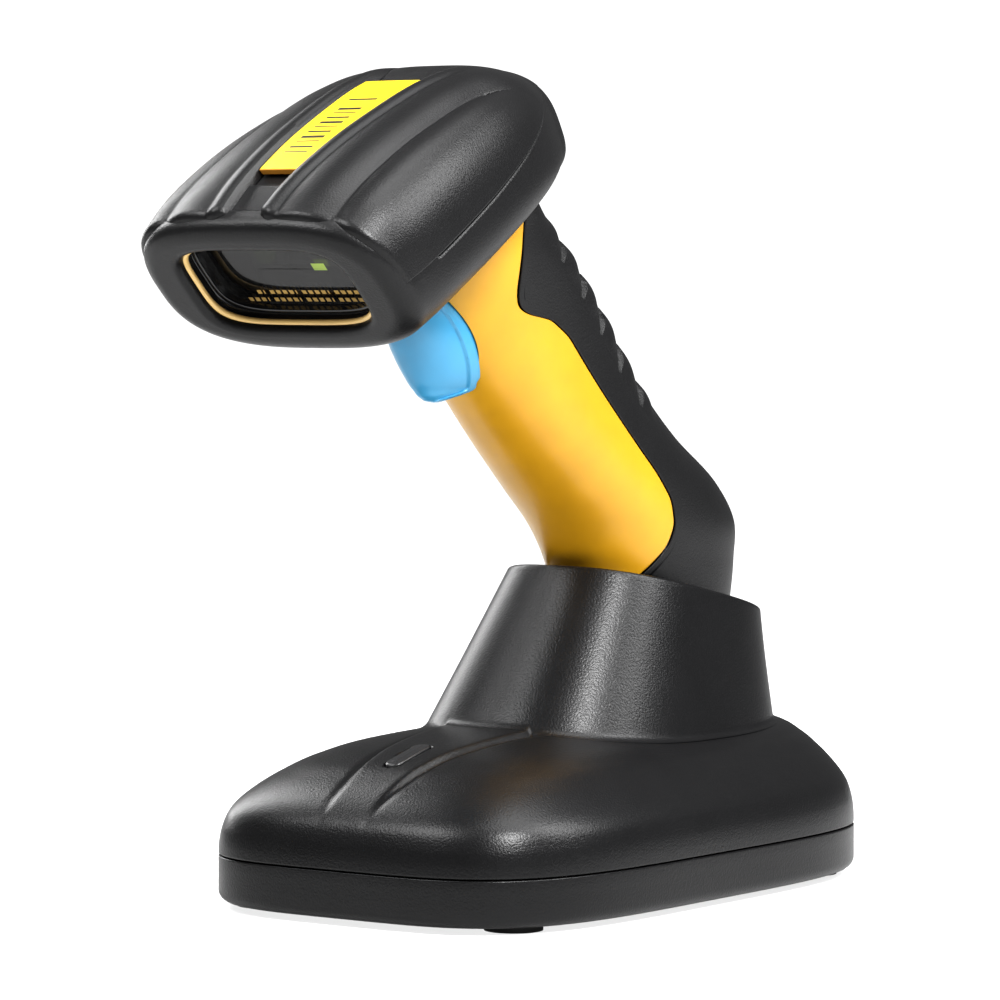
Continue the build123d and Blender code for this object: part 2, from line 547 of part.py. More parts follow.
save(door, "battery_door")
pads = [rod(PAD_RADIUS, (x, CONTACT_Y, GRIP_FOOT_Z), (x, CONTACT_Y, GRIP_FOOT_Z + 2.5)) for x in contact_x]
save(Compound(children=pads), "charge_pads")
charge_board = box(-11, 11, CONTACT_Y - 12, CONTACT_Y + 12, GRIP_FOOT_Z + 2.5, GRIP_FOOT_Z + 4.1)
save(charge_board, "charge_board")

CELL_RADIUS, CELL_LENGTH = 9.2, 65.0
cell_foot = Vector(0, 38.5, 89.5)
cell_axis = Vector(0, -0.748, 0.663).normalized()
cell_top = cell_foot + cell_axis * CELL_LENGTH
save(rod(CELL_RADIUS, tuple(cell_foot), tuple(cell_top)), "battery_cell")
holder_foot = cell_foot - cell_axis * 2.5
holder_top = cell_top + cell_axis * 2.5
holder = rod(CELL_RADIUS + 1.6, tuple(holder_foot), tuple(holder_top))
holder -= rod(CELL_RADIUS, tuple(cell_foot), tuple(cell_top))
open_side = Plane(origin=cell_foot, x_dir=(1, 0, 0), z_dir=cell_axis)
holder -= open_side * box(-30, 30, -30, 2.0, -20, CELL_LENGTH + 20)
save(holder, "battery_holder")

# ---------------------------------------------------------------- trigger
back_y = -33.0
blade_line = Spline((-57.6, 156.0), (-56.4, 141.0), (-51.0, 128.6), (-44.0, 123.4), (-37.5, 124.6))
blade_rest = Polyline(blade_line @ 1, (back_y, 128.0), (back_y, 156.0), blade_line @ 0)
blade = extrude(Plane.YZ * make_face(blade_line + blade_rest), TRIGGER_HALF_WIDTH, both=True)
front_edges = [e for e in blade.edges() if e.geom_type == GeomType.BSPLINE]
blade = fillet(front_edges, 6.0)
blade -= rod(PIN_RADIUS + PIN_CLEARANCE, (-20, PIVOT_Y, PIVOT_Z), (20, PIVOT_Y, PIVOT_Z))
save(blade, "trigger")
save(rod(PIN_RADIUS, (-PIN_REACH, PIVOT_Y, PIVOT_Z), (PIN_REACH, PIVOT_Y, PIVOT_Z)), "trigger_pin")
SPRING_Z, PLATE_Y = 133.0, -24.5
spring = coil(2.4, 0.3, 5, PLATE_Y - back_y - 0.1)
save(Location((0, back_y + 0.05, SPRING_Z), (-90, 0, 0)) * spring, "trigger_spring")
plate = box(-11.5, 11.5, PLATE_Y, PLATE_Y + 1.6, 127.5, 150.0)
save(plate, "switch_bracket")
SWITCH_Z = 144.0
switch_body = box(-5, 5, PLATE_Y - 5.0, PLATE_Y, SWITCH_Z - 3, SWITCH_Z + 3)
switch_body -= rod(1.05, (0, PLATE_Y - 8, SWITCH_Z), (0, PLATE_Y - 2.2, SWITCH_Z))
save(switch_body, "trigger_switch")
save(rod(0.95, (0, back_y + 0.15, SWITCH_Z), (0, PLATE_Y - 3.4, SWITCH_Z)), "switch_plunger")
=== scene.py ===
"""Looks of a cordless barcode scanner that stands in its charging cradle.

Sizes are millimetres in the model's frame: +Z up, the scanner looks towards -Y,
and the origin is the middle of the cradle's footprint on the table.
"""

import bmesh
import bpy
import numpy as np
from mathutils import Matrix, Vector


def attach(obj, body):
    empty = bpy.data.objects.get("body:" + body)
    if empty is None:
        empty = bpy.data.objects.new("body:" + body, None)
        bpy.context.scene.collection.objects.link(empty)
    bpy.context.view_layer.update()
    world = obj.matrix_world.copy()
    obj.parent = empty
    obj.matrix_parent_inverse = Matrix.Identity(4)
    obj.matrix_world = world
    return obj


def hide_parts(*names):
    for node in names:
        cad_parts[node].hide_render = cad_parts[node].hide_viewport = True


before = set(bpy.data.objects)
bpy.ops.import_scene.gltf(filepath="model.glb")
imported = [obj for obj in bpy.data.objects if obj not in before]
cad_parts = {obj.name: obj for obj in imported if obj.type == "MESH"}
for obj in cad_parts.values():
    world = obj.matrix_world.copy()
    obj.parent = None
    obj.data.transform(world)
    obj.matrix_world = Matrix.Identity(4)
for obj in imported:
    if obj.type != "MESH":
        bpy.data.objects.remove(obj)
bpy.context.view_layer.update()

# ---------------------------------------------------------------- camera, lights and table
# A long lens a little above the cradle's rim, soft boxes round the object as for a
# catalogue picture, and a pale table that runs on to the horizon.
MM = 0.001
CAMERA_AZIMUTH, CAMERA_PITCH = np.radians(35.8), np.radians(2.8)
CAMERA_PLACE = (694.2, -981.7, 156.1)
CAMERA_LENS = 174.0

back = Vector((
    np.sin(CAMERA_AZIMUTH) * np.cos(CAMERA_PITCH),
    -np.cos(CAMERA_AZIMUTH) * np.cos(CAMERA_PITCH),
    np.sin(CAMERA_PITCH),
))
right = Vector((np.cos(CAMERA_AZIMUTH), np.sin(CAMERA_AZIMUTH), 0))
camera = bpy.data.objects.new("camera", bpy.data.cameras.new("camera"))
bpy.context.scene.collection.objects.link(camera)
camera.matrix_world = Matrix.Translation(Vector(CAMERA_PLACE) * MM) @ Matrix(
    (right, back.cross(right), back)
).transposed().to_4x4()
camera.data.lens = CAMERA_LENS
camera.data.sensor_width = 36
bpy.context.scene.camera = camera
bpy.context.scene.view_settings.view_transform = "Standard"
bpy.context.scene.view_settings.look = "Medium High Contrast"


def soft_box(name, azimuth, elevation, distance, size, power):
    """Rectangular lamp aimed at the scanner from this compass direction and height."""
    a, e = np.radians(azimuth), np.radians(elevation)
    aim = Vector((0, -0.01, 0.09))
    way = Vector((np.sin(a) * np.cos(e), -np.cos(a) * np.cos(e), np.sin(e)))
    lamp = bpy.data.lights.new(name, "AREA")
    lamp.shape, lamp.size, lamp.size_y, lamp.energy = "RECTANGLE", size[0], size[1], power
    holder = bpy.data.objects.new(name, lamp)
    bpy.context.scene.collection.objects.link(holder)
    holder.location = aim + way * distance
    holder.rotation_mode = "QUATERNION"
    holder.rotation_quaternion = way.to_track_quat("Z", "Y")


soft_box("key_box", -35, 50, 1.1, (0.6, 0.4), 7.0)
soft_box("right_box", 66, 43, 0.9, (0.17, 0.30), 10.5)
soft_box("left_strip", -108, 25, 1.0, (0.25, 0.8), 4.5)
soft_box("back_strip", 116, 42, 1.0, (0.3, 0.6), 7.5)
sky = bpy.data.lights.new("overhead", "SUN")
sky.energy, sky.angle = 1.55, np.radians(36)
overhead = bpy.data.objects.new("overhead", sky)
bpy.context.scene.collection.objects.link(overhead)
overhead.rotation_euler = (np.radians(-8), np.radians(6), 0)

world = bpy.data.worlds.new("studio")
bpy.context.scene.world = world
world.use_nodes = True
paths = world.node_tree.nodes.new("ShaderNodeLightPath")
WORLD_SEEN, WORLD_LIGHT = 1.0, 0.15
ramp = world.node_tree.nodes.new("ShaderNodeMapRange")
ramp.inputs["To Min"].default_value = WORLD_LIGHT
ramp.inputs["To Max"].default_value = WORLD_SEEN
world.node_tree.links.new(paths.outputs["Is Camera Ray"], ramp.inputs["Value"])
world.node_tree.links.new(ramp.outputs["Result"], world.node_tree.nodes["Background"].inputs["Strength"])
world.node_tree.nodes["Background"].inputs["Color"].default_value = (1, 1, 1, 1)


class Field:
    """A number that varies over a surface. Sums, products and so on add Math nodes."""

    def __init__(self, tree, socket):
        self.tree, self.socket = tree, socket

    def maths(self, operation, *others):
        node = self.tree.nodes.new("ShaderNodeMath")
        node.operation = operation
        for slot, other in zip(node.inputs, others):
            if isinstance(other, Field):
                self.tree.links.new(other.socket, slot)
            else:
                slot.default_value = other
        return Field(self.tree, node.outputs[0])

    def __add__(self, other):
        return self.maths("ADD", self, other)

    def __sub__(self, other):
        return self.maths("SUBTRACT", self, other)

    def __rsub__(self, other):
        return self.maths("SUBTRACT", other, self)

    def __mul__(self, other):
        return self.maths("MULTIPLY", self, other)

    def __truediv__(self, other):
        return self.maths("DIVIDE", self, other)

    def __lt__(self, other):
        return self.maths("LESS_THAN", self, other)

    def __gt__(self, other):
        return self.maths("GREATER_THAN", self, other)

    def __abs__(self):
        return self.maths("ABSOLUTE", self)

    __radd__, __rmul__ = __add__, __mul__

    def remainder(self, step):
        return self.maths("FLOORED_MODULO", self, step)

    def floor(self):
        return self.maths("FLOOR", self)


class Finish:
    """One material: a Principled shader whose fixed values are set on its own sockets."""

    def __init__(self, name, colour, roughness, **sockets):
        self.material = bpy.data.materials.new(name)
        self.material.use_nodes = True
        self.tree = self.material.node_tree
        self.shader = self.tree.nodes["Principled BSDF"]
        self.shader.inputs["Base Color"].default_value = (*colour, 1)
        self.shader.inputs["Roughness"].default_value = roughness
        for socket, value in sockets.items():
            self.shader.inputs[socket.replace("_", " ")].default_value = value

    def node(self, kind, settings=(), **inputs):
        """Adds a node, sets its settings, and fills its sockets with values or fields."""
        node = self.tree.nodes.new("ShaderNode" + kind)
        for key, value in dict(settings).items():
            setattr(node, key, value)
        for key, value in inputs.items():
            slot = node.inputs[key.replace("_", " ")]
            if isinstance(value, Field):
                self.tree.links.new(value.socket, slot)
            else:
                slot.default_value = value
        return node

    def field(self, kind, output, settings=(), **inputs):
        return Field(self.tree, self.node(kind, settings, **inputs).outputs[output])

    def place(self):
        """Object coordinates, in metres."""
        return self.field("TexCoord", "Object")

    def noise(self, size_mm, detail=2.0, vector=None):
        """Noise from 0 to 1 whose lumps are about this large."""
        return self.field(
            "TexNoise", "Fac", Vector=vector or self.place(), Scale=1000 / size_mm, Detail=detail
        )

    def drive(self, socket, field):
        self.tree.links.new(field.socket, self.shader.inputs[socket])

    def blend(self, mask, low, high):
        """Colour that goes from low to high as the mask goes from 0 to 1."""
        node = self.node("Mix", {"data_type": "RGBA"})
        self.tree.links.new(mask.socket, node.inputs["Factor"])
        for slot, colour in ((node.inputs[6], low), (node.inputs[7], high)):
            if isinstance(colour, Field):
                self.tree.links.new(colour.socket, slot)
            else:
                slot.default_value = (*colour, 1)
        return Field(self.tree, node.outputs[2])

    def bump(self, height, depth_mm, strength=1.0):
        """Raises the surface by height (0 to 1) times this depth, in shading alone."""
        node = self.node("Bump", Height=height, Distance=depth_mm * MM, Strength=strength)
        self.tree.links.new(node.outputs["Normal"], self.shader.inputs["Normal"])


def moulded(name, colour, roughness, grain_mm, grain_depth, mottle=0.04, **sockets):
    """Moulded plastic: a spark-eroded grain in the surface, and slightly uneven gloss and tone."""
    finish = Finish(name, colour, roughness, **sockets)
    grain = finish.noise(grain_mm, 1.0)
    cloud = finish.noise(14.0, 3.0)
    finish.drive("Roughness", (grain - 0.5) * (2.5 * mottle) + (cloud - 0.5) * mottle + roughness)
    darker = [0.82 * c for c in colour]
    finish.drive("Base Color", finish.blend(cloud, darker, [min(1.0, 1.14 * c) for c in colour]))
    finish.bump(grain, grain_depth)
    return finish.material


FLOOR_SIZE = 6.0
floor_mesh = bpy.data.meshes.new("table_top")
corner = FLOOR_SIZE / 2
floor_mesh.from_pydata(
    [(-corner, -corner, 0), (corner, -corner, 0), (corner, corner, 0), (-corner, corner, 0)],
    [], [(0, 1, 2, 3)],
)
floor = bpy.data.objects.new("table_top", floor_mesh)
bpy.context.scene.collection.objects.link(floor)
table_finish = Finish(
    "table_white", (0.95, 0.95, 0.95), 0.6,
    Alpha=0.5, Specular_IOR_Level=0.0, Emission_Color=(1, 1, 1, 1), Emission_Strength=0.36,
)
table_finish.drive("Roughness", table_finish.noise(30.0, 3.0) * 0.1 + 0.55)
floor_mesh.materials.append(table_finish.material)

# ---------------------------------------------------------------- cradle tray
# The cradle's lower half: one injection moulding of black ABS with a rounded lower edge.
# It meets the upper shell at a shadow gap all the way round.
BASE_HALF_WIDTH, BASE_HALF_LENGTH, BASE_POWER = 54.8, 85.8, 4.0
SEAM_HEIGHT, SEAM_GAP = 13.0, 0.3
TRAY_BOTTOM, TRAY_EDGE = 1.5, 3.0
CRADLE_WALL = 2.2


def piece_from(name, grids, body, material, close_columns=False, flip=False, weld=0.004):
    """One mesh from grids of points (rows, columns, xyz), with equal points welded.

    Faces run row by row; a closed grid joins its last column to its first.
    """
    points, faces, start = [], [], 0
    for grid in grids:
        rows, columns = grid.shape[:2]
        index = np.arange(rows * columns).reshape(rows, columns) + start
        if close_columns:
            index = np.column_stack([index, index[:, 0]])
        quads = np.stack([index[:-1, :-1], index[:-1, 1:], index[1:, 1:], index[1:, :-1]], axis=-1)
        quads = quads.reshape(-1, 4)
        faces.append(quads[:, ::-1] if flip else quads)
        points.append(grid.reshape(-1, 3))
        start += rows * columns
    mesh = bpy.data.meshes.new(name)
    mesh.from_pydata((np.concatenate(points) * MM).tolist(), [], np.concatenate(faces).tolist())
    work = bmesh.new()
    work.from_mesh(mesh)
    bmesh.ops.remove_doubles(work, verts=work.verts, dist=weld * MM)
    bmesh.ops.dissolve_degenerate(work, edges=work.edges, dist=weld * MM * 0.5)
    work.to_mesh(mesh)
    work.free()
    mesh.polygons.foreach_set("use_smooth", [True] * len(mesh.polygons))
    mesh.materials.append(material)
    piece = bpy.data.objects.new(name, mesh)
    bpy.context.scene.collection.objects.link(piece)
    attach(piece, body)
    return piece


def thicken(piece, wall):
    """Gives an open surface its wall, measured inwards."""
    solid = piece.modifiers.new("wall", "SOLIDIFY")
    solid.thickness, solid.offset, solid.use_even_offset = wall * MM, -1.0, False


def crisp(piece, angle=35.0):
    """Keeps folds sharper than this angle as edges, and shades the rest smoothly."""
    piece.data.set_sharp_from_angle(angle=np.radians(angle))


def superellipse_radius(angle, half_x, half_y, power):
    """Distance from the centre to the edge: ((|cos|/a)^p + (|sin|/b)^p)^(-1/p)."""
    across = np.abs(np.cos(angle) / half_x) ** power
    along = np.abs(np.sin(angle) / half_y) ** power
    return (across + along) ** (-1 / power)


def level_outline(angle, half_x, front, back_y, power, height):
    """Level superellipse between y = front and y = back_y, as points for each angle."""
    radius = superellipse_radius(angle, half_x, (back_y - front) / 2, power)
    x = radius * np.cos(angle)
    y = (front + back_y) / 2 + radius * np.sin(angle)
    return np.stack(np.broadcast_arrays(x, y, height), axis=-1)


def turn(count):
    """Angles once round, without repeating the first."""
    return np.linspace(0, 2 * np.pi, count, endpoint=False)


def smooth_table(table, at):
    """Cubic Hermite curve through a table's rows (first column is the place), slopes from neighbours."""
    table = np.asarray(table, float)
    place, values = table[:, 0], table[:, 1:]
    slopes = np.gradient(values, place, axis=0)
    at = np.clip(np.asarray(at, float), place[0], place[-1])
    i = np.clip(np.searchsorted(place, at, side="right") - 1, 0, len(place) - 2)
    span = place[i + 1] - place[i]
    t = ((at - place[i]) / span)[..., None]
    span = span[..., None]
    rise = values[i + 1] - values[i]
    fit = values[i] + t * span * slopes[i]
    fit += t**2 * (3 * rise - span * (2 * slopes[i] + slopes[i + 1]))
    fit += t**3 * (span * (slopes[i] + slopes[i + 1]) - 2 * rise)
    return np.moveaxis(fit, -1, 0)


def ease(value, low, high):
    """0 below low, 1 above high and an S-curve between."""
    t = np.clip((value - low) / (high - low), 0, 1)
    return t * t * (3 - 2 * t)


black_satin = moulded("black_satin_abs", (0.007, 0.007, 0.0075), 0.33, 0.5, 0.07, Specular_IOR_Level=0.3)

# Rings from the middle of the underside, out round the edge, up the wall, and back down inside:
# how far each ring is inside the footprint, and its height.
corner_turn = np.linspace(0, np.pi / 2, 9)
tray_inset = np.concatenate([[49.0, 30.0, 10.0], TRAY_EDGE * (1 - np.sin(corner_turn))])
tray_level = np.concatenate([[TRAY_BOTTOM] * 3, TRAY_BOTTOM + TRAY_EDGE * (1 - np.cos(corner_turn))])
lip = 0.35 * (1 - np.cos(corner_turn[2::2]))
tray_inset = np.concatenate([tray_inset, [0, 0, 0], lip, [CRADLE_WALL, CRADLE_WALL, 30.0, 49.0]])
rim_level = SEAM_HEIGHT - 0.35 + 0.35 * np.sin(corner_turn[2::2])
tray_level = np.concatenate([tray_level, [7.0, 10.0, 12.6], rim_level, [SEAM_HEIGHT, 4.0, 4.0, 4.0]])
angles = turn(240)
tray_rings = [
    level_outline(angles, BASE_HALF_WIDTH - i, -BASE_HALF_LENGTH + i, BASE_HALF_LENGTH - i, BASE_POWER, z)
    for i, z in zip(tray_inset, tray_level)
]
centre_low = np.zeros((240, 3)) + [0, 0, TRAY_BOTTOM]
centre_high = np.zeros((240, 3)) + [0, 0, 4.0]
tray_grid = np.stack([centre_low, *tray_rings, centre_high])
tray = piece_from("tray_moulding", [tray_grid], "cradle", black_satin, close_columns=True)
crisp(tray)
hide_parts("cradle_tray")

# ---------------------------------------------------------------- feet and screws under the cradle
# Four die-cut rubber discs and four cross-head screws, as the frame has them.


def dress(material, *names):
    """Gives frame nodes their material."""
    for name in names:
        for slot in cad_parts[name].material_slots:
            slot.material = material


rubber = moulded("foot_rubber", (0.012, 0.012, 0.012), 0.75, 0.5, 0.05)
dress(rubber, "rubber_feet")
zinc = moulded("zinc_plated_steel", (0.55, 0.55, 0.57), 0.32, 0.2, 0.004, Metallic=1.0)
dress(
    zinc, "cradle_screws", "head_screws", "ballast_plate", "engine_bracket", "trigger_pin", "switch_bracket",
)

# ---------------------------------------------------------------- cradle upper shell
# The dome and the tapered collar are one black moulding. Two creases run forward from the
# collar and close in on a raised panel, which holds the page button in a pill-shaped hole.
DOME = [
    (13.3, 54.8, -85.8, 85.8), (16.5, 54.7, -85.5, 85.7), (20.0, 54.2, -84.7, 85.4), (25.0, 52.3, -81.9, 84.1),
    (29.0, 48.9, -76.8, 82.3), (32.5, 44.9, -70.2, 80.5), (36.0, 39.5, -61.5, 78.6), (39.0, 32.0, -49.0, 76.5),
    (41.5, 20.0, -28.0, 71.0), (43.0, 9.0, -8.0, 60.0),
]
COLLAR = [(34.0, 35.6, -32.3, 77.3), (58.0, 29.6, -14.0, 76.3), (88.0, 22.8, 8.8, 76.4)]
COLLAR_POWER = 2.6
RIM_FRONT_Y, RIM_FRONT_Z, RIM_SLOPE = 3.5, 81.0, np.tan(np.radians(12.2))
PANEL_FRONT, PANEL_BACK = (-84.0, 5.2), (-30.0, 12.4)
PANEL_RAISE, PANEL_WALL = 1.0, 1.3
BUTTON_Y, BUTTON_LENGTH, BUTTON_WIDTH = -57.0, 14.6, 4.6
BUTTON_GAP, BUTTON_WELL = 0.35, 3.0
FILLET = 1.6


def dome_height(x, y):
    """Height of the dome above a point in plan: the level whose section passes through it.

    The level is found by halving, for all points at once.
    """
    low, high = np.full(np.shape(x), DOME[0][0]), np.full(np.shape(x), DOME[-1][0])
    for _ in range(22):
        middle = (low + high) / 2
        half_x, front, back_y = smooth_table(DOME, middle)
        along = np.abs((y - (front + back_y) / 2) / ((back_y - front) / 2)) ** BASE_POWER
        inside = np.abs(x / half_x) ** BASE_POWER + along < 1
        low, high = np.where(inside, middle, low), np.where(inside, high, middle)
    return (low + high) / 2


def pill_distance(x, y, length, width):
    """Distance from the outline of a pill that lies along Y on the button's centre, negative inside."""
    along = np.clip(y - BUTTON_Y, -(length - width) / 2, (length - width) / 2)
    return np.hypot(x, y - BUTTON_Y - along) - width / 2


def panel_lift(x, y):
    """Height of the raised panel over the dome: full inside its two edges, and fading at the front."""
    t = np.clip((y - PANEL_FRONT[0]) / (PANEL_BACK[0] - PANEL_FRONT[0]), 0, 1.2)
    edge = PANEL_FRONT[1] + t * (PANEL_BACK[1] - PANEL_FRONT[1])
    inside = 1 - ease(np.abs(x), edge, edge + PANEL_WALL)
    groove = np.exp(-(((np.abs(x) - edge - PANEL_WALL) / 1.3) ** 2))
    strength = ease(y, -86.0, -66.0)
    return strength * (PANEL_RAISE * inside - 0.55 * groove)


def collar_outline(angle, height, inset=0.0):
    """The hub's level outline at this height: a superellipse from the COLLAR table, less the inset."""
    half_x, front, back_y = smooth_table(COLLAR, height)
    return level_outline(angle, half_x - inset, front + inset, back_y - inset, COLLAR_POWER, height)


front_fan = np.linspace(-0.62, 0.62, 150) - np.pi / 2
side_fan = np.linspace(-np.pi / 2 + 0.62, 1.5 * np.pi - 0.62, 172)[1:-1]
shell_angles = np.concatenate([front_fan, side_fan])
low_levels = np.linspace(SEAM_HEIGHT + SEAM_GAP, 25.0, 22)
wall_rows = [level_outline(shell_angles, *smooth_table(DOME, z), BASE_POWER, z) for z in low_levels]
seam_roll = []
for t in np.linspace(0, 1, 5)[:-1]:
    inset = 0.4 * (1 - np.sin(t * np.pi / 2))
    ring = level_outline(shell_angles, BASE_HALF_WIDTH - inset, -BASE_HALF_LENGTH + inset,
                         BASE_HALF_LENGTH - inset, BASE_POWER, SEAM_HEIGHT + SEAM_GAP + 0.4 * (1 - np.cos(t * np.pi / 2)))
    seam_roll.append(ring)
foot = collar_outline(shell_angles, np.full_like(shell_angles, 40.6), -FILLET)
start = wall_rows[-1]
t = np.linspace(0, 1, 120)[1:, None]
plan_x = start[None, :, 0] * (1 - t) + foot[None, :, 0] * t
plan_y = start[None, :, 1] * (1 - t) + foot[None, :, 1] * t
top_rows = np.stack([plan_x, plan_y, dome_height(plan_x, plan_y)], axis=-1)
dome_rows = np.concatenate([wall_rows, top_rows])
dome_rows[0] = seam_roll[-1]
lift = panel_lift(dome_rows[..., 0], dome_rows[..., 1]) * ease(dome_rows[..., 2], 14.0, 24.0)
from_pill = pill_distance(dome_rows[..., 0], dome_rows[..., 1], BUTTON_LENGTH, BUTTON_WIDTH)
dome_rows[..., 2] += lift - BUTTON_WELL * (1 - ease(from_pill, 0.1, BUTTON_GAP))
foot_level = dome_rows[-1, :, 2]
fillet_rows = []
for t in np.linspace(0.12, 1, 7):
    out = -FILLET * (1 - np.sin(t * np.pi / 2))
    ring = collar_outline(shell_angles, foot_level + FILLET * (1 - np.cos(t * np.pi / 2)), out)
    fillet_rows.append(ring)


def rim_height(y):
    """Height of the sloping rim: a straight line that falls towards the back."""
    return RIM_FRONT_Z - RIM_SLOPE * (y - RIM_FRONT_Y)


def collar_row(share, inset=0.0, drop=0.0):
    """Points of the collar at this share of the way from its foot to its sloping rim."""
    height = np.full_like(shell_angles, 60.0)
    for _ in range(6):
        y = collar_outline(shell_angles, height, inset)[:, 1]
        height = foot_level + FILLET + share * (rim_height(y) - drop - foot_level - FILLET)
    return collar_outline(shell_angles, height, inset)


RIM_ROUND = 0.7
collar_rows = [collar_row(s, drop=RIM_ROUND) for s in np.linspace(0, 1, 40)[1:]]
for t in np.linspace(0, 1, 6)[1:]:
    inset = RIM_ROUND * (1 - np.cos(t * np.pi / 2))
    collar_rows.append(collar_row(1.0, inset, RIM_ROUND * (1 - np.sin(t * np.pi / 2))))
LEDGE = 2.6
collar_rows.append(collar_row(1.0, LEDGE))
collar_rows.append(collar_row(1.0, LEDGE + 0.3, 0.3))
collar_rows.append(collar_row(1.0, LEDGE + 0.3, 2.2))
shell_grid = np.concatenate([seam_roll, dome_rows[1:], fillet_rows, collar_rows])
upper_shell = piece_from("cradle_dome_moulding", [shell_grid], "cradle", black_satin, close_columns=True)
crisp(upper_shell, 50)
thicken(upper_shell, 1.2)
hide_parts("cradle_upper_shell")
dress(black_satin, "handle_cup")

# ---------------------------------------------------------------- page button
# A slim pill of the same plastic, a little smoother, that follows the panel's curve
# and goes down 0.8 mm in its well.
button_turn = turn(64)
BUTTON_PROUD, BUTTON_EDGE, BUTTON_SKIRT = 0.45, 0.5, 2.0


def button_ring(inset, drop):
    """Outline of the pill, made smaller by inset, this far below the button's top."""
    half = (BUTTON_LENGTH - BUTTON_WIDTH) / 2
    radius = BUTTON_WIDTH / 2 - inset
    x = radius * np.cos(button_turn)
    y = BUTTON_Y + radius * np.sin(button_turn) + half * np.sign(np.sin(button_turn) + 1e-9)
    z = dome_height(x, y) + panel_lift(x, y) + BUTTON_PROUD - drop
    return np.stack([x, y, z], axis=-1)


button_rows = [button_ring(0.0, BUTTON_SKIRT)]
for t in np.linspace(0, np.pi / 2, 6):
    button_rows.append(button_ring(BUTTON_EDGE * (1 - np.cos(t)), BUTTON_EDGE * (1 - np.sin(t))))
button_rows += [button_ring(1.2, 0.0), button_ring(BUTTON_WIDTH / 2 - 0.02, -0.06)]
button_finish = moulded("button_satin", (0.02, 0.02, 0.021), 0.3, 0.35, 0.02)
button = piece_from(
    "page_button_cap", [np.stack(button_rows)], "page_button", button_finish, close_columns=True
)
thicken(button, 0.8)
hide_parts("page_button")

# ---------------------------------------------------------------- inside the cradle
# Boards, contact block and inlet, seen when the scanner is lifted out or from behind.
component_black = moulded("component_black", (0.018, 0.018, 0.018), 0.45, 0.3, 0.01)
solder_mask = moulded("solder_mask_green", (0.02, 0.12, 0.05), 0.28, 0.6, 0.006, Coat_Weight=0.3)
gold = moulded("gold_plate", (0.9, 0.62, 0.22), 0.22, 0.2, 0.003, Metallic=1.0)
spring_wire = moulded("spring_wire", (0.5, 0.5, 0.52), 0.25, 0.15, 0.003, Metallic=1.0)
white_nylon = moulded("white_nylon", (0.78, 0.78, 0.75), 0.5, 0.4, 0.01)
amber_film = moulded("polyimide_film", (0.55, 0.25, 0.05), 0.3, 0.5, 0.004)
dress(component_black, "contact_block", "page_switch", "lens_barrel", "scan_engine", "board_chips", "buzzer")
dress(component_black, "battery_holder", "trigger_switch")
dress(solder_mask, "cradle_board", "contact_board", "main_board", "charge_board")
dress(gold, "contact_plungers", "charge_pads")
dress(spring_wire, "contact_springs", "trigger_spring", "power_socket", "radio_module")
dress(white_nylon, "board_standoffs", "switch_plunger")
dress(amber_film, "contact_ribbon", "engine_flex")

# ---------------------------------------------------------------- grip, front shell
# The amber half of the pistol grip: smooth, slightly glossy ABS that wraps the front and
# both sides. The trigger comes out of a round-ended pocket in it.
GRIP = [
    (46.0, 16.5, 66.5, 17.0), (62.0, 15.2, 69.5, 17.8), (80.0, 11.6, 72.9, 18.6), (90.0, 4.3, 73.2, 19.2),
    (100.0, -7.7, 65.3, 18.7), (112.0, -21.7, 47.4, 17.5), (126.0, -36.5, 31.2, 16.6), (142.0, -49.0, 16.5, 16.8),
    (158.0, -57.0, -1.0, 18.0), (166.0, -59.5, -11.5, 18.5), (174.0, -61.5, -21.0, 20.0), (186.0, -63.5, -30.0, 23.0),
]
GRIP_POWER = 2.3
GRIP_TOP = 177.0
# The parting line between the two shells, as (y, z), from the head down to the foot.
SEAM_LINE = [(-34.5, 178.0), (-34.5, 149.5), (-33.4, 145.6), (-30.0, 143.9), (-20.5, 142.3), (-13.0, 138.2),
             (23.0, 103.6), (28.6, 97.0), (30.2, 90.5), (28.2, 85.0), (14.0, 70.5), (-9.0, 66.5)]
SEAM_HALF_GAP, SHELL_ROLL, SHELL_WALL = 0.28, 0.45, 1.8
OVAL_HEIGHT, OVAL_ABOVE, NECK_SHARE = 138.8, 12.8, 0.5
TRIGGER_HALF_WIDTH, TRIGGER_BELOW = 8.8, 16.2
POCKET_HALF_WIDTH, POCKET_BELOW, POCKET_DEPTH = 9.25, 13.2, 10.0


def oval_half(z, half_width, below):
    """Half width of an upright oval that stays open at its top: w sqrt(1 - ((z - z0) / reach)^2)."""
    reach = np.where(z < OVAL_HEIGHT, below, OVAL_ABOVE)
    least = np.where(z < OVAL_HEIGHT, 2e-5, NECK_SHARE)
    return half_width * np.sqrt(np.maximum(1 - ((z - OVAL_HEIGHT) / reach) ** 2, least))


def seam_rows(step):
    """Heights and seam places (y, z) down the parting line, evenly spaced along it.

    The line's corners are eased by averaging it with itself over a few millimetres.
    """
    line = np.array(SEAM_LINE, float)
    run = np.concatenate([[0], np.cumsum(np.hypot(*np.diff(line, axis=0).T))])
    fine = np.arange(0, run[-1], 0.1)
    y, z = np.interp(fine, run, line[:, 0]), np.interp(fine, run, line[:, 1])
    window = np.hanning(51)
    window /= window.sum()
    for _ in range(2):
        y = np.convolve(np.pad(y, 25, "reflect", reflect_type="odd"), window, "valid")
        z = np.convolve(np.pad(z, 25, "reflect", reflect_type="odd"), window, "valid")
    pick = np.arange(0, len(y), int(step / 0.1))
    return y[pick], z[pick]


def grip_size(z):
    """Half width, middle and half depth of the grip at height z, by a curve through GRIP."""
    half_x, front, back_y = smooth_table([(r[0], r[3], r[1], r[2]) for r in GRIP], z)
    return half_x, (front + back_y) / 2, (back_y - front) / 2


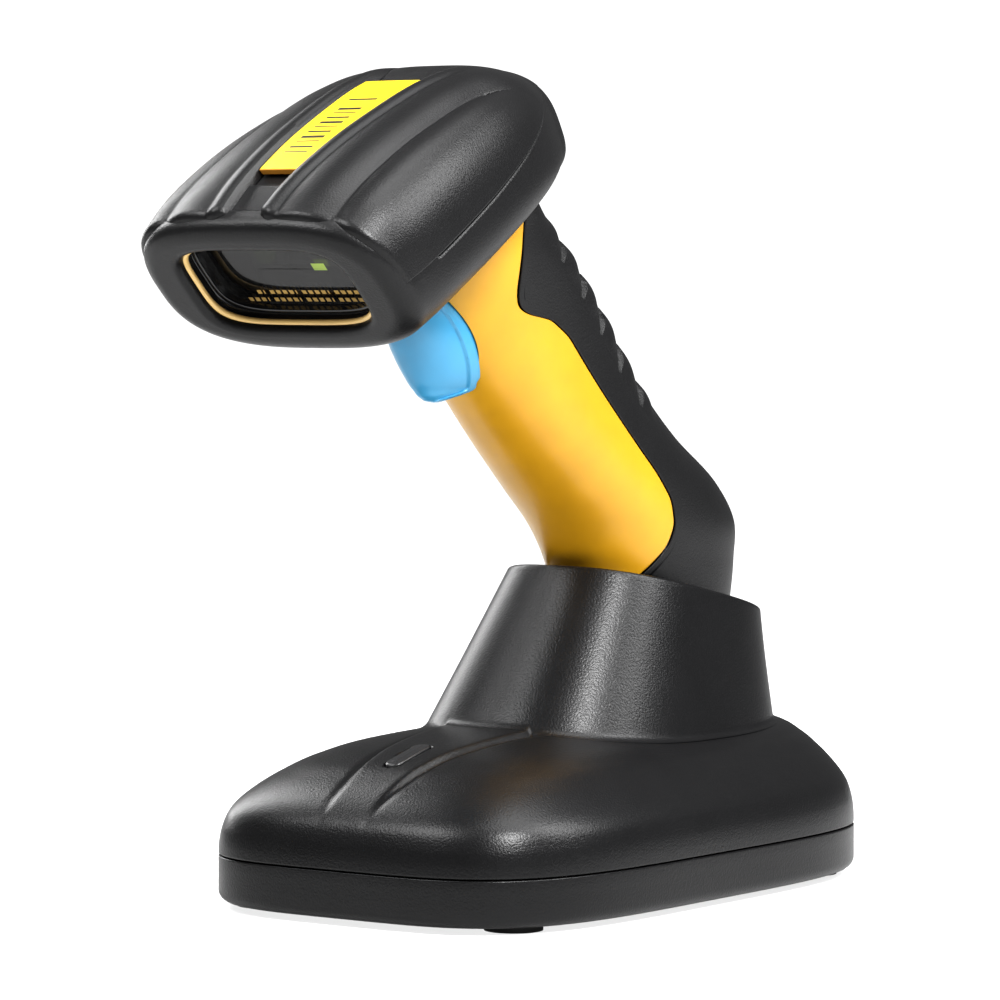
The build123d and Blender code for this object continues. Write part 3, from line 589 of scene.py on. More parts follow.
def grip_point(angle, z, inset=0.0):
    """Point of the grip at height z: centre + r(cos, sin), r from the superellipse less the inset."""
    half_x, middle, half_y = grip_size(z)
    radius = superellipse_radius(angle, half_x - inset, half_y - inset, GRIP_POWER)
    return np.stack(np.broadcast_arrays(radius * np.cos(angle), middle + radius * np.sin(angle), z), axis=-1)


def angle_at(y, z):
    """Angle on the right side of the section at height z where its edge has this y."""
    half_x, middle, half_y = grip_size(z)
    share = np.clip((y - middle) / half_y, -0.9999, 0.9999)
    x = half_x * (1 - np.abs(share) ** GRIP_POWER) ** (1 / GRIP_POWER)
    return np.arctan2(y - middle, x)


seam_y, seam_z = seam_rows(0.6)
keep = seam_z < GRIP_TOP
seam_y, seam_z = seam_y[keep], seam_z[keep]

amber = moulded(
    "amber_abs", (0.61, 0.315, 0.012), 0.33, 0.6, 0.006, mottle=0.03, Coat_Weight=0.15, Coat_Roughness=0.2
)


front_limit = angle_at(seam_y - SEAM_HALF_GAP, seam_z)
pocket_x = np.maximum(oval_half(seam_z, POCKET_HALF_WIDTH, POCKET_BELOW), 1.2)
half_x, middle, half_y = grip_size(seam_z)
pocket_y = middle - half_y * (1 - (pocket_x / half_x) ** GRIP_POWER) ** (1 / GRIP_POWER)
pocket_angle = np.arctan2(pocket_y - middle, pocket_x)
side = pocket_angle[:, None] + (front_limit - pocket_angle)[:, None] * np.linspace(0, 1, 46)[None, :]
middle_fan = -np.pi / 2 + (pocket_angle + np.pi / 2)[:, None] * np.linspace(0, 1, 26)[None, :]
half_fan = np.concatenate([middle_fan, pocket_angle[:, None], side[:, 1:]], axis=1)
depth = np.zeros_like(half_fan)
POCKET_COLUMNS = 25
in_pocket = (seam_z > OVAL_HEIGHT - POCKET_BELOW + 0.1)[:, None]
in_pocket = in_pocket & (np.arange(half_fan.shape[1]) < POCKET_COLUMNS)[None, :]
depth[in_pocket] = 1.0
z_grid = np.broadcast_to(seam_z[:, None], half_fan.shape)
right_half = grip_point(half_fan, z_grid)
right_half[..., 1] += POCKET_DEPTH * depth
edge_rows = []
for t in np.linspace(0, 1, 5)[1:]:
    roll_in = SHELL_ROLL * (1 - np.cos(t * np.pi / 2))
    shift = SHELL_ROLL * np.sin(t * np.pi / 2)
    edge_angle = angle_at(seam_y - SEAM_HALF_GAP - SHELL_ROLL + shift, seam_z)
    edge_rows.append(grip_point(edge_angle, seam_z, roll_in))
side_end = angle_at(seam_y - SEAM_HALF_GAP - SHELL_ROLL, seam_z)
side = pocket_angle[:, None] + (side_end - pocket_angle)[:, None] * np.linspace(0, 1, 46)[None, :]
right_half[:, -45:] = grip_point(side, z_grid[:, -46:])[:, 1:]
right_half = np.concatenate([right_half, np.stack(edge_rows, axis=1)], axis=1)
left_half = right_half[:, :0:-1] * [-1, 1, 1]
front_grid = np.concatenate([left_half, right_half], axis=1)
front_shell = piece_from("grip_front_moulding", [front_grid], "scanner", amber, flip=True)
crisp(front_shell, 40)
thicken(front_shell, SHELL_WALL)
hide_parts("grip_front_shell")

# ---------------------------------------------------------------- grip, back shell
# The black half behind it, in soft-touch plastic. Five wedge-shaped grooves cross its back
# between shallow lobes for the palm, and the battery door fills a shallow recess below them.
DOWN, OUT = np.array([0.748, -0.663]), np.array([0.663, 0.748])
GROOVE_PLACES = (-117.2, -103.6, -91.0, -78.4, -65.8)
GROOVE_DEPTH, GROOVE_WIDTH, GROOVE_REACH, GROOVE_TAPER = 3.8, 3.8, 11.5, 5.5
LOBE_RAISE = 0.9
DOOR_HALF_WIDTH, DOOR_TOP, DOOR_ARCH, DOOR_FOOT = 11.5, 95.0, 7.0, 53.0
DOOR_GAP, DOOR_SINK = 0.35, 1.2

soft_black = moulded("soft_touch_black", (0.0075, 0.0075, 0.008), 0.38, 0.45, 0.07, Specular_IOR_Level=0.34)


def groove_depth(y, z, back_reach):
    """Depth of the palm grooves: steps along the handle, deepest at the back and gone at their tips.

    back_reach is how far the point is in front of the handle's back line.
    """
    along = DOWN[0] * y + DOWN[1] * z
    share = np.clip((GROOVE_REACH - back_reach) / GROOVE_TAPER, 0, 1)
    total = np.zeros(np.shape(y))
    for place in GROOVE_PLACES:
        half = 0.35 + (GROOVE_WIDTH / 2 - 0.35) * share
        offset = along - place - 0.9 * (1 - share)
        upper = ease(offset, -half - 0.2, -half + 0.5)
        lower = 1 - ease(offset, half - 0.4, half + 0.3)
        total = np.maximum(total, upper * lower * (0.25 + 0.75 * share) * (share > 0.02))
    first, last = GROOVE_PLACES[0] - 6.5, GROOVE_PLACES[-1] + 6.5
    wave = 0.5 - 0.5 * np.cos(2 * np.pi * (along - GROOVE_PLACES[0]) / 12.85)
    lobes = wave * ease(along, first - 3, first + 3) * (1 - ease(along, last - 3, last + 3)) * share
    return GROOVE_DEPTH * total - LOBE_RAISE * lobes


def door_distance(x, z):
    """How far inside the battery door's outline a point is, negative outside. The top is an arch."""
    top = DOOR_TOP - DOOR_ARCH + DOOR_ARCH * (1 - (x / DOOR_HALF_WIDTH) ** 2)
    return np.minimum(np.minimum(DOOR_HALF_WIDTH - np.abs(x), top - z), z - DOOR_FOOT)


back_z = np.concatenate([seam_z, np.linspace(seam_z[-1], 46.0, 34)[1:]])
back_limit_y = np.concatenate([seam_y + SEAM_HALF_GAP, np.full(33, -999.0)])
half_x, middle, half_y = grip_size(back_z)
lowest_y = middle - half_y
back_limit_y = np.maximum(back_limit_y, lowest_y)
back_limit_y[back_limit_y < lowest_y + 0.4] = lowest_y[back_limit_y < lowest_y + 0.4]
closed_row = back_limit_y <= lowest_y + 1e-6
start_y = np.where(closed_row, middle, back_limit_y + SHELL_ROLL)
start_angle = np.where(closed_row, -np.pi / 2, angle_at(start_y, back_z))
share = np.linspace(0, 1, 110)
half_fan = start_angle[:, None] + (np.pi / 2 - start_angle)[:, None] * share[None, :]
z_grid = np.broadcast_to(back_z[:, None], half_fan.shape)
half_grid = grip_point(half_fan, z_grid)
x, y = half_grid[..., 0], half_grid[..., 1]
back_line = (OUT[0] * (middle + half_y) + OUT[1] * back_z)[:, None]
reach = np.maximum(back_line - (OUT[0] * y + OUT[1] * z_grid), 0) * np.ones_like(x)
sink = groove_depth(y, z_grid, reach)
sink = sink + DOOR_SINK * ease(door_distance(x, z_grid), -DOOR_GAP, -DOOR_GAP + 0.3) * (y > 40)
norm = np.hypot(x / half_x[:, None] ** 2, (y - middle[:, None]) / half_y[:, None] ** 2)
half_grid[..., 0] -= sink * (x / half_x[:, None] ** 2) / norm
half_grid[..., 1] -= sink * ((y - middle[:, None]) / half_y[:, None] ** 2) / norm
edge_rows = []
for t in np.linspace(1, 0, 5)[:-1]:
    roll_in = SHELL_ROLL * (1 - np.cos(t * np.pi / 2))
    shift = SHELL_ROLL * (1 - np.sin(t * np.pi / 2))
    edge_angle = angle_at(np.where(closed_row, middle, back_limit_y + shift), back_z)
    row = grip_point(np.where(closed_row, -np.pi / 2, edge_angle), back_z, np.where(closed_row, 0, roll_in))
    edge_rows.append(row)
half_grid = np.concatenate([np.stack(edge_rows, axis=1), half_grid], axis=1)
other_half = half_grid[:, -2::-1] * [-1, 1, 1]
back_grid = np.concatenate([half_grid, other_half], axis=1)
foot_ring = back_grid[-1:]
foot_centre = np.broadcast_to([0.0, 41.5, 46.0], foot_ring.shape)
foot_rows = [foot_ring * (1 - t) + foot_centre * t for t in (0.15, 0.6, 1.0)]
back_grid = np.concatenate([back_grid, *foot_rows])
back_shell = piece_from("grip_back_moulding", [back_grid], "scanner", soft_black, flip=True)
crisp(back_shell, 45)
thicken(back_shell, SHELL_WALL)
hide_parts("grip_back_shell")

# ---------------------------------------------------------------- battery door
# A curved cover with an arched top that lies in the recess of the back shell, flush with it.
door_u = np.linspace(-1, 1, 61)
door_v = np.linspace(0, 1, 90)
door_x = np.broadcast_to(DOOR_HALF_WIDTH * np.sin(door_u * np.pi / 2)[None, :], (90, 61))
door_top = DOOR_TOP - DOOR_ARCH * (door_x / DOOR_HALF_WIDTH) ** 2
door_z = DOOR_FOOT + (door_top - DOOR_FOOT) * door_v[:, None]
half_x, middle, half_y = grip_size(door_z)
door_y = middle + half_y * (1 - np.abs(door_x / half_x) ** GRIP_POWER) ** (1 / GRIP_POWER)
rim = np.minimum(door_distance(door_x, door_z), 0.4)
door_y = door_y - 0.4 * (1 - np.sqrt(1 - (1 - rim / 0.4) ** 2))
door_grid = np.stack([door_x, door_y, door_z], axis=-1)
door = piece_from("battery_door_cover", [door_grid], "scanner", soft_black, flip=True)
thicken(door, 1.0)
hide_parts("battery_door")
cell_sleeve = moulded("cell_sleeve_blue", (0.03, 0.12, 0.4), 0.3, 1.2, 0.01)
dress(cell_sleeve, "battery_cell")

# ---------------------------------------------------------------- trigger
# One sky-blue moulding with a D-shaped section and a rounded end. A flange a little wider
# than the finger face runs round its rear edge. It turns on a steel pin under the head.
TRIGGER_FRONT = [
    (122.6, -46.6), (122.9, -48.8), (123.7, -50.9), (125.6, -53.3), (129.2, -56.1), (133.3, -58.8),
    (136.5, -60.7), (142.0, -61.9), (157.0, -62.6),
]
TRIGGER_TOP = 156.5
TRIGGER_BEHIND = 5.0  # how far the sides reach into the pocket, from 1.5 mm outside the grip
FLANGE_STEP = 0.7

blue = moulded(
    "sky_blue_abs", (0.055, 0.29, 0.50), 0.3, 0.6, 0.005, mottle=0.03, Coat_Weight=0.15, Coat_Roughness=0.2
)
round_turn = np.linspace(0.0, np.pi / 2, 44)
trigger_z = np.concatenate(
    [OVAL_HEIGHT - TRIGGER_BELOW * np.cos(round_turn), np.linspace(OVAL_HEIGHT, TRIGGER_TOP, 36)[1:]]
)
width_here = oval_half(trigger_z, TRIGGER_HALF_WIDTH, TRIGGER_BELOW)
front_y = smooth_table(TRIGGER_FRONT, trigger_z)[0]
half_x, middle, half_y = grip_size(trigger_z)
grip_edge = middle - half_y * (1 - (width_here / half_x) ** GRIP_POWER) ** (1 / GRIP_POWER)
centre_y = grip_edge - 1.5
centre_y = centre_y + (-45.8 - centre_y) * (1 - ease(trigger_z, OVAL_HEIGHT - TRIGGER_BELOW, 126.2))
behind = 0.6 + (TRIGGER_BEHIND - 0.6) * ease(trigger_z, 127.0, 129.8)
trigger_turn = turn(160)
facing = np.sin(trigger_turn)[None, :] < 0
reach_y = np.where(facing, (centre_y - front_y)[:, None], behind[:, None])
section_power = np.where(facing, 2.25, 5.0)
half_width = width_here[:, None] * np.ones_like(reach_y)
radius = superellipse_radius(trigger_turn[None, :], half_width, reach_y, section_power)
x = radius * np.cos(trigger_turn)
y = centre_y[:, None] + radius * np.sin(trigger_turn)
flange_y = (centre_y - 2.6)[:, None]
ahead = 1 - ease(y, flange_y - 0.3, flange_y + 0.3)
x = x * (1 - FLANGE_STEP * ahead / np.maximum(half_width, 3.0))
trigger_grid = np.stack([x, y, np.broadcast_to(trigger_z[:, None], x.shape)], axis=-1)
cap = np.broadcast_to(trigger_grid[-1].mean(axis=0), trigger_grid[-1:].shape)
trigger_grid = np.concatenate([trigger_grid, cap])
trigger = piece_from("trigger_moulding", [trigger_grid], "trigger", blue, close_columns=True)
crisp(trigger, 50)
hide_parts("trigger")

# ---------------------------------------------------------------- head, lower housing and face frame
# One black soft-touch moulding: the band under the crease, the rounded frame of the face and
# the tunnel down to the window. The cover sits on it as a lid, so it is lower beneath the lid.
HEAD_Y, HEAD_Z, HEAD_PITCH = -60.0, 172.0, np.radians(30.0)
# Forward distance, half width, top, bottom, widest height, tilt in degrees.
HEAD = [
    (-48.4, 6.9, -3.9, -13.4, -9.0, 0.0), (-46.4, 12.6, 1.6, -15.4, -7.5, 0.0), (-42.0, 18.4, 8.8, -16.2, -5.0, 0.0),
    (-34.0, 23.4, 15.3, -16.0, -2.0, 0.0), (-23.5, 28.9, 21.4, -15.1, 1.0, 0.0), (-9.0, 33.6, 25.2, -14.0, 3.0, 0.0),
    (8.0, 36.2, 27.4, -13.5, 4.0, 3.0), (26.0, 37.1, 28.4, -13.6, 4.5, 8.0), (42.0, 36.7, 27.3, -14.2, 5.0, 13.0),
    (48.0, 35.9, 26.0, -14.5, 5.0, 15.6), (54.0, 35.4, 25.0, -14.4, 5.0, 15.8),
]
TOP_POWER, BOTTOM_POWER = 3.2, 2.9
FACE_U, FACE_ROUND_F, FACE_ROUND, FACE_TILT = 4.9, 48.2, 4.3, 15.8
WINDOW_HALF_WIDTH, WINDOW_HALF_HEIGHT, WINDOW_POWER = 25.0, 14.0, 4.0
LID_SINK, VISOR_SINK = 1.9, 1.3
JOIN_F = 38.0
TUNNEL_DEPTH = 8.4


def to_world(x, f, u):
    """From the head's own frame (x, forward, up) to the model's, pitched nose down."""
    y = HEAD_Y - f * np.cos(HEAD_PITCH) - u * np.sin(HEAD_PITCH)
    z = HEAD_Z - f * np.sin(HEAD_PITCH) + u * np.cos(HEAD_PITCH)
    return np.stack(np.broadcast_arrays(x, y, z), axis=-1)


def head_size(f):
    """The head's measures at this distance forward, by a curve through HEAD."""
    return smooth_table(HEAD, f)


def head_section(angle, f, inset=0.0):
    """(x, forward, up) of the head's skin: upright superellipse slices that lean with the face."""
    half, top, bottom, widest, tilt = head_size(f)
    upper = np.sin(angle) >= 0
    reach_u = np.where(upper, top - widest, widest - bottom) - inset
    power = np.where(upper, TOP_POWER, BOTTOM_POWER)
    radius = superellipse_radius(angle, half - inset, reach_u, power)
    u = widest + radius * np.sin(angle)
    lean = (u - FACE_U) * np.tan(np.radians(tilt))
    return radius * np.cos(angle), f + lean, u


def crease_angle(f):
    """Angle of the crease on the right side: where the slice's upper half reaches the crease height."""
    half, top, bottom, widest, tilt = head_size(f)
    height = 6.3 - 0.03 * np.clip(f, -50, 50)
    share = np.clip((height - widest) / np.maximum(top - widest, 0.1), 0, 1)
    x = half * (1 - share**TOP_POWER) ** (1 / TOP_POWER)
    return np.where(share >= 0.9999, np.pi / 2, np.arctan2(np.maximum(height - widest, 0.0), x))


def visor_line(x):
    """Forward distance of the cover's front edge: two lobes reach further than the middle."""
    wide = np.abs(x)
    notch = np.exp(-(((wide - 26.3) / 2.2) ** 2))
    return 46.4 + 1.5 * ease(wide, 5.0, 9.0) - 0.9 * notch + 0.6 * ease(wide, 28.0, 34.0)


tail_run = 6.0 * (1 - np.cos(np.linspace(0, np.pi / 2, 14)))
lower_f = np.concatenate([HEAD[0][0] + tail_run, np.linspace(HEAD[0][0] + 6.6, JOIN_F, 120)])
lower_share = np.linspace(0, 1, 150)
limit = crease_angle(lower_f)
fan = limit[:, None] + (-np.pi - 2 * limit)[:, None] * lower_share[None, :]
band = to_world(*head_section(fan, lower_f[:, None]))
tail_end = np.broadcast_to(to_world(0.0, HEAD[0][0] - 0.6, -9.0), band[:1].shape)
band = np.concatenate([tail_end, band])

ring_low_f = np.linspace(JOIN_F, FACE_ROUND_F, 26)
ring_rows = []


def frame_ring(f, inset):
    """A full turn of the face frame: proud below the crease, lower under the cover and its visor."""
    here = crease_angle(f)
    low = here + (-np.pi - 2 * here) * lower_share
    high = np.pi - here + (-np.pi + 2 * here) * np.linspace(0, 1, 130)
    x_low, f_low, u_low = head_section(low, f, inset)
    from_edge = np.minimum(high - here, np.pi - here - high)
    sunk_behind = LID_SINK * (from_edge > 0.004)
    x0 = head_section(high, f, inset)[0]
    behind = 1 - ease(f - visor_line(x0), -0.4, 0.9)
    ahead = VISOR_SINK * ease(from_edge, 0.05, 0.42)
    ahead = ahead * (1 - 0.55 * ease(f, 47.5, 52.5))
    sink = sunk_behind * behind + ahead * (1 - behind)
    x_high, f_high, u_high = head_section(high, f, inset + sink)
    return to_world(np.append(x_low, x_high), np.append(f_low, f_high), np.append(u_low, u_high))


for f in ring_low_f:
    ring_rows.append(frame_ring(f, 0.0))
for t in np.linspace(0, np.pi / 2, 12)[1:]:
    ring_rows.append(frame_ring(FACE_ROUND_F + FACE_ROUND * np.sin(t), 0.92 * FACE_ROUND * (1 - np.cos(t))))
outer_ring = ring_rows[-1]
ring_angles = np.append(
    crease_angle(FACE_ROUND_F + FACE_ROUND) + (-np.pi - 2 * crease_angle(FACE_ROUND_F + FACE_ROUND)) * lower_share,
    np.pi - crease_angle(FACE_ROUND_F + FACE_ROUND)
    + (-np.pi + 2 * crease_angle(FACE_ROUND_F + FACE_ROUND)) * np.linspace(0, 1, 130),
)


def window_ring(angle, grow, depth):
    """The window's outline made larger by grow, this far behind the face plane."""
    radius = superellipse_radius(angle, WINDOW_HALF_WIDTH + grow, WINDOW_HALF_HEIGHT + grow, WINDOW_POWER)
    tilt = np.radians(FACE_TILT)
    up = radius * np.sin(angle)
    f = FACE_ROUND_F + FACE_ROUND + up * np.sin(tilt) - depth * np.cos(tilt)
    u = FACE_U + up * np.cos(tilt) + depth * np.sin(tilt)
    return to_world(radius * np.cos(angle), f, u)


LIP_ROUND = 0.9
inner_start = window_ring(ring_angles, LIP_ROUND, 0.0)
for t in np.linspace(0, 1, 12)[1:]:
    ring_rows.append(outer_ring * (1 - t) + inner_start * t)
for t in np.linspace(0, np.pi / 2, 7)[1:]:
    ring_rows.append(window_ring(ring_angles, LIP_ROUND * (1 - np.sin(t)), LIP_ROUND * (1 - np.cos(t))))
for depth in np.linspace(LIP_ROUND, TUNNEL_DEPTH, 8)[1:]:
    ring_rows.append(window_ring(ring_angles, 0.0, depth))
frame_grid = np.stack(ring_rows)
band[-1] = frame_grid[0, :150]
frame_grid = np.concatenate([frame_grid, frame_grid[:, :1]], axis=1)
housing = piece_from("head_lower_moulding", [band, frame_grid], "scanner", soft_black)
crisp(housing, 42)
thicken(housing, 1.0)
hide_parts("head_bumper")

# ---------------------------------------------------------------- head cover
# The lid over the head, in the same soft-touch plastic: a sunken channel along the middle
# for the label plate, and two lobes on each side that end in a visor over the face.
CHANNEL_DEPTH, CHANNEL_STEP = 1.25, 0.45
LOBE_ONE, LOBE_TWO = 1.7, 1.3
COVER_GAP = 0.012


def angle_of_x(x, f):
    """Angle on the right side of the slice at which its upper half is this far out."""
    half, top, bottom, widest, tilt = head_size(f)
    rise = (top - widest) * (1 - np.clip(x / half, 0, 0.999) ** TOP_POWER) ** (1 / TOP_POWER)
    return np.arctan2(rise, x)


def channel_edge(f):
    """Half width of the sunken channel: it widens backwards."""
    return 6.0 + 4.0 * np.clip((47.0 - f) / 59.0, 0, 1.2)


def cover_raise(x, f):
    """Height of the cover over the plain skin: channel, inner lobe, valley line, outer lobe."""
    wide = np.abs(x)
    edge = channel_edge(f)
    live = ease(f, -30.0, -6.0)
    channel = -CHANNEL_DEPTH * (1 - ease(wide, edge, edge + CHANNEL_STEP)) * ease(f, -28.0, -16.0)
    valley = 26.0 + 0.01 * (47.0 - f)
    one = np.clip((wide - edge) / (valley - edge), 0, 1)
    two = np.clip((wide - valley) / 10.0, 0, 1)
    lobes = LOBE_ONE * (np.sin(np.pi * one) ** 0.8 - 1) * (wide < valley)
    lobes += LOBE_TWO * (np.sin(np.pi * two) ** 0.8 - 1) * (wide >= valley) * (wide < valley + 5)
    dip = LOBE_ONE * ease(wide, edge, edge + CHANNEL_STEP) * (1 - ease(wide, edge + 1.0, edge + 5.0))
    return channel + live * (lobes + dip)


tail_f = -42.8
run = np.concatenate([0.10 * (1 - np.cos(np.linspace(0, np.pi / 2, 16))), np.linspace(0.10, 1, 130)[1:]])
visor_guess = 47.0
breaks_f = tail_f + (visor_guess - tail_f) * run
edge_x = channel_edge(breaks_f)
half = head_size(breaks_f)[0]
low = crease_angle(breaks_f) + COVER_GAP
side_x = np.minimum(34.3, 0.95 * half)
valley_x = np.minimum(26.0 + 0.01 * (47.0 - breaks_f), 0.8 * half)
step_x = np.minimum(edge_x + CHANNEL_STEP, 0.4 * half)
marks = [low] + [np.maximum(angle_of_x(x, breaks_f), low + 0.001) for x in
                 (side_x, valley_x, step_x, np.minimum(edge_x, 0.38 * half))] + [np.full_like(low, np.pi / 2)]
marks = [np.minimum(m, np.pi / 2) for m in marks]
fan = []
for first, last, count in zip(marks[:-1], marks[1:], (34, 22, 28, 5, 12)):
    fan.append(first[:, None] + (last - first)[:, None] * np.linspace(0, 1, count + 1)[None, :-1])
fan = np.concatenate([*fan, marks[-1][:, None]], axis=1)
right_x = head_section(fan, breaks_f[:, None])[0]
stop = visor_line(right_x[-1])[None, :]
cover_f = tail_f + (stop - tail_f) * run[:, None]
cover_f = cover_f * ease(run, 0.5, 0.9)[:, None] + breaks_f[:, None] * (1 - ease(run, 0.5, 0.9)[:, None])
cover_rows = []
for i in range(len(run)):
    raise_here = cover_raise(right_x[i], cover_f[i])
    cover_rows.append(to_world(*head_section(fan[i], cover_f[i], -raise_here)))
for t in np.linspace(0, np.pi / 2, 6)[1:]:
    inset = 1.0 * (1 - np.cos(t))
    cover_rows.append(to_world(*head_section(fan[-1], cover_f[-1] + 1.0 * np.sin(t), inset - raise_here)))
cover_rows.append(to_world(*head_section(fan[-1], cover_f[-1] + 0.8, 1.4 - raise_here)))
cover_half = np.stack(cover_rows)
cover_grid = np.concatenate([cover_half, cover_half[:, -2::-1] * [-1, 1, 1]], axis=1)
cover = piece_from("head_lid_moulding", [cover_grid], "scanner", soft_black, flip=True)
crisp(cover, 42)
thicken(cover, 1.1)
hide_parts("head_cover")

# ---------------------------------------------------------------- label plate
# A bright yellow plate glued in the channel, tapered with it, with plain dark bars printed on.
LABEL_FRONT, LABEL_BACK = (33.4, 5.4), (-12.2, 8.8)
LABEL_THICK, LABEL_ROUND = 1.5, 0.2

label_run = np.concatenate([[0, 0.002, 0.006], np.linspace(0.012, 0.988, 70), [0.994, 0.998, 1.0]])
label_f = LABEL_FRONT[0] + (LABEL_BACK[0] - LABEL_FRONT[0]) * label_run
label_half = LABEL_FRONT[1] + (LABEL_BACK[1] - LABEL_FRONT[1]) * label_run
label_u = np.concatenate([[-1, -0.985, -0.96], np.linspace(-0.93, 0.93, 25), [0.96, 0.985, 1]])


def label_sheet(lift, shrink):
    """The plate's outline laid on the channel floor, this far above it and smaller all round."""
    at_ends = np.sign(label_run - 0.5) * (np.abs(label_run - 0.5) > 0.49)
    f = (label_f + shrink * at_ends)[:, None]
    reach = (label_half - shrink)[:, None]
    x = np.clip(label_half[:, None] * label_u[None, :], -reach, reach)
    angle = np.arctan2(1, 0) - np.sign(x) * (np.pi / 2 - angle_of_x(np.abs(x), f))
    return to_world(*head_section(angle, f, CHANNEL_DEPTH - lift))


top_sheet = label_sheet(LABEL_THICK, LABEL_ROUND)
edge_sheet = label_sheet(LABEL_THICK - LABEL_ROUND, 0.0)
low_sheet = label_sheet(0.02, 0.0)


def border(sheet):
    """The sheet's outer points in order round it."""
    return np.concatenate([sheet[0, :-1], sheet[:-1, -1], sheet[-1, :0:-1], sheet[:0:-1, 0]])


label_wall = np.stack([border(low_sheet), border(edge_sheet), border(top_sheet)])
label_wall = np.concatenate([label_wall, label_wall[:, :1]], axis=1)
LABEL_YELLOW, PRINT_BLACK = (0.82, 0.60, 0.014), (0.02, 0.02, 0.02)
label_finish = Finish("label_printed", LABEL_YELLOW, 0.36)
spot = label_finish.node("SeparateXYZ", Vector=label_finish.place())
sx, sy, sz = (Field(label_finish.tree, spot.outputs[axis]) for axis in "XYZ")
along = ((sy - HEAD_Y * MM) * -np.cos(HEAD_PITCH) - (sz - HEAD_Z * MM) * np.sin(HEAD_PITCH)) * 1000
up = ((sy - HEAD_Y * MM) * -np.sin(HEAD_PITCH) + (sz - HEAD_Z * MM) * np.cos(HEAD_PITCH)) * 1000
across = abs(sx) * 1000
step = (along + 20.0).remainder(2.6)
wide_bar = (along / 2.6).floor().remainder(3.0) * 0.35 + 0.55
bars = (step < wide_bar) * (along > 6.0) * (along < 30.0) * (across < 3.4)
line = (abs(along - 1.0) < 0.5) * (across < 4.2)
label_finish.drive("Base Color", label_finish.blend(bars + line, LABEL_YELLOW, PRINT_BLACK))
label_finish.drive("Roughness", label_finish.noise(5.0) * 0.08 + 0.3)
label_finish.bump(label_finish.noise(0.8), 0.004)
orange_edge = moulded("label_edge_orange", (0.80, 0.36, 0.05), 0.4, 0.6, 0.004)
label_edge = piece_from("label_plate_edge", [label_wall], "scanner", orange_edge)
crisp(label_edge, 40)
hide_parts("label_plate")
label = piece_from("label_plate_printed", [top_sheet], "scanner", label_finish.material)
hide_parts("label_plate")

# ---------------------------------------------------------------- window, its seal and bezel
# A gold-coloured bead seals the tunnel, then a stepped black bezel, then the tinted glass,
# with a row of small printed dashes and the optics behind it.
SEAL_DEPTH, SEAL_RADIUS = 2.1, 0.85
window_turn = turn(200)
seal_rows = [
    window_ring(window_turn, -SEAL_RADIUS + SEAL_RADIUS * np.cos(t) * 0.98, SEAL_DEPTH - SEAL_RADIUS * np.sin(t))
    for t in np.linspace(0, 2 * np.pi, 17)
]
gold_seal = moulded("gold_seal", (0.92, 0.62, 0.25), 0.36, 0.5, 0.004, Metallic=0.1, Coat_Weight=0.3)
seal = piece_from("window_bead", [np.stack(seal_rows)], "scanner", gold_seal, close_columns=True)
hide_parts("window_seal")

bezel_profile = [(-0.1, 3.0), (-0.7, 3.05), (-0.85, 3.2), (-0.95, 4.6), (-1.1, 4.8), (-1.9, 4.9), (-2.05, 5.05),
                 (-2.15, 6.6), (-2.2, 6.75), (-2.2, 8.2), (-0.1, 8.2), (-0.1, 3.0)]
bezel_grid = np.stack([window_ring(window_turn, grow, depth) for grow, depth in bezel_profile])
gloss_black = moulded("gloss_black", (0.012, 0.012, 0.013), 0.16, 2.0, 0.004, Coat_Weight=0.4)
bezel = piece_from("window_bezel_ring", [bezel_grid], "scanner", gloss_black, close_columns=True)
crisp(bezel, 40)
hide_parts("window_bezel")

glass_rows = [window_ring(window_turn, grow, depth) for grow, depth in
              ((-13.9, 6.8), (-9.0, 6.8), (-2.3, 6.8), (-2.2, 6.9), (-2.2, 8.0), (-2.3, 8.1), (-9.0, 8.1), (-13.9, 8.1))]
GLASS_TINT, DASH_GOLD = (0.006, 0.006, 0.006), (0.46, 0.31, 0.11)
glass_finish = Finish(
    "window_tinted", GLASS_TINT, 0.05, Specular_IOR_Level=0.35, Coat_Weight=0.1, Coat_Roughness=0.03
)
spot = glass_finish.node("SeparateXYZ", Vector=glass_finish.place())
gx, gy, gz = (Field(glass_finish.tree, spot.outputs[axis]) for axis in "XYZ")
along = ((gy - HEAD_Y * MM) * -np.cos(HEAD_PITCH) - (gz - HEAD_Z * MM) * np.sin(HEAD_PITCH)) * 1000
rise = ((gy - HEAD_Y * MM) * -np.sin(HEAD_PITCH) + (gz - HEAD_Z * MM) * np.cos(HEAD_PITCH)) * 1000
face_tilt = np.radians(FACE_TILT)
height = (along - FACE_ROUND_F - FACE_ROUND) * np.sin(face_tilt) + (rise - FACE_U) * np.cos(face_tilt)
across = gx * 1000
tick = across.remainder(1.9) < 1.25
gap = across.remainder(9.5) < 8.0
row_one = (abs(height + 7.7) < 0.62) * (abs(across - 1.5) < 15.0)
row_two = (abs(height + 10.2) < 0.62) * (abs(across) < 17.3)
dashes = tick * gap * (row_one + row_two)
# Painted glow: a greenish spot on the glass emits light, standing in for the aimer lamp shining through it.
painted_lamp_glow = (abs(across - 9.6) < 1.9) * (abs(height - 0.7) < 1.1)
glass_finish.drive("Base Color", glass_finish.blend(dashes, GLASS_TINT, DASH_GOLD))
glass_finish.drive("Emission Color", glass_finish.blend(painted_lamp_glow, (0, 0, 0), (0.30, 0.42, 0.06)))
glass_finish.shader.inputs["Emission Strength"].default_value = 1.0
glass_finish.drive("Alpha", dashes * 0.1 + 0.88)
glass_finish.drive("Roughness", glass_finish.noise(6.0) * 0.03 + 0.035)
glass = piece_from(
    "window_pane", [np.stack(glass_rows)], "scanner", glass_finish.material, close_columns=True
)
crisp(glass, 40)
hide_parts("scan_window")

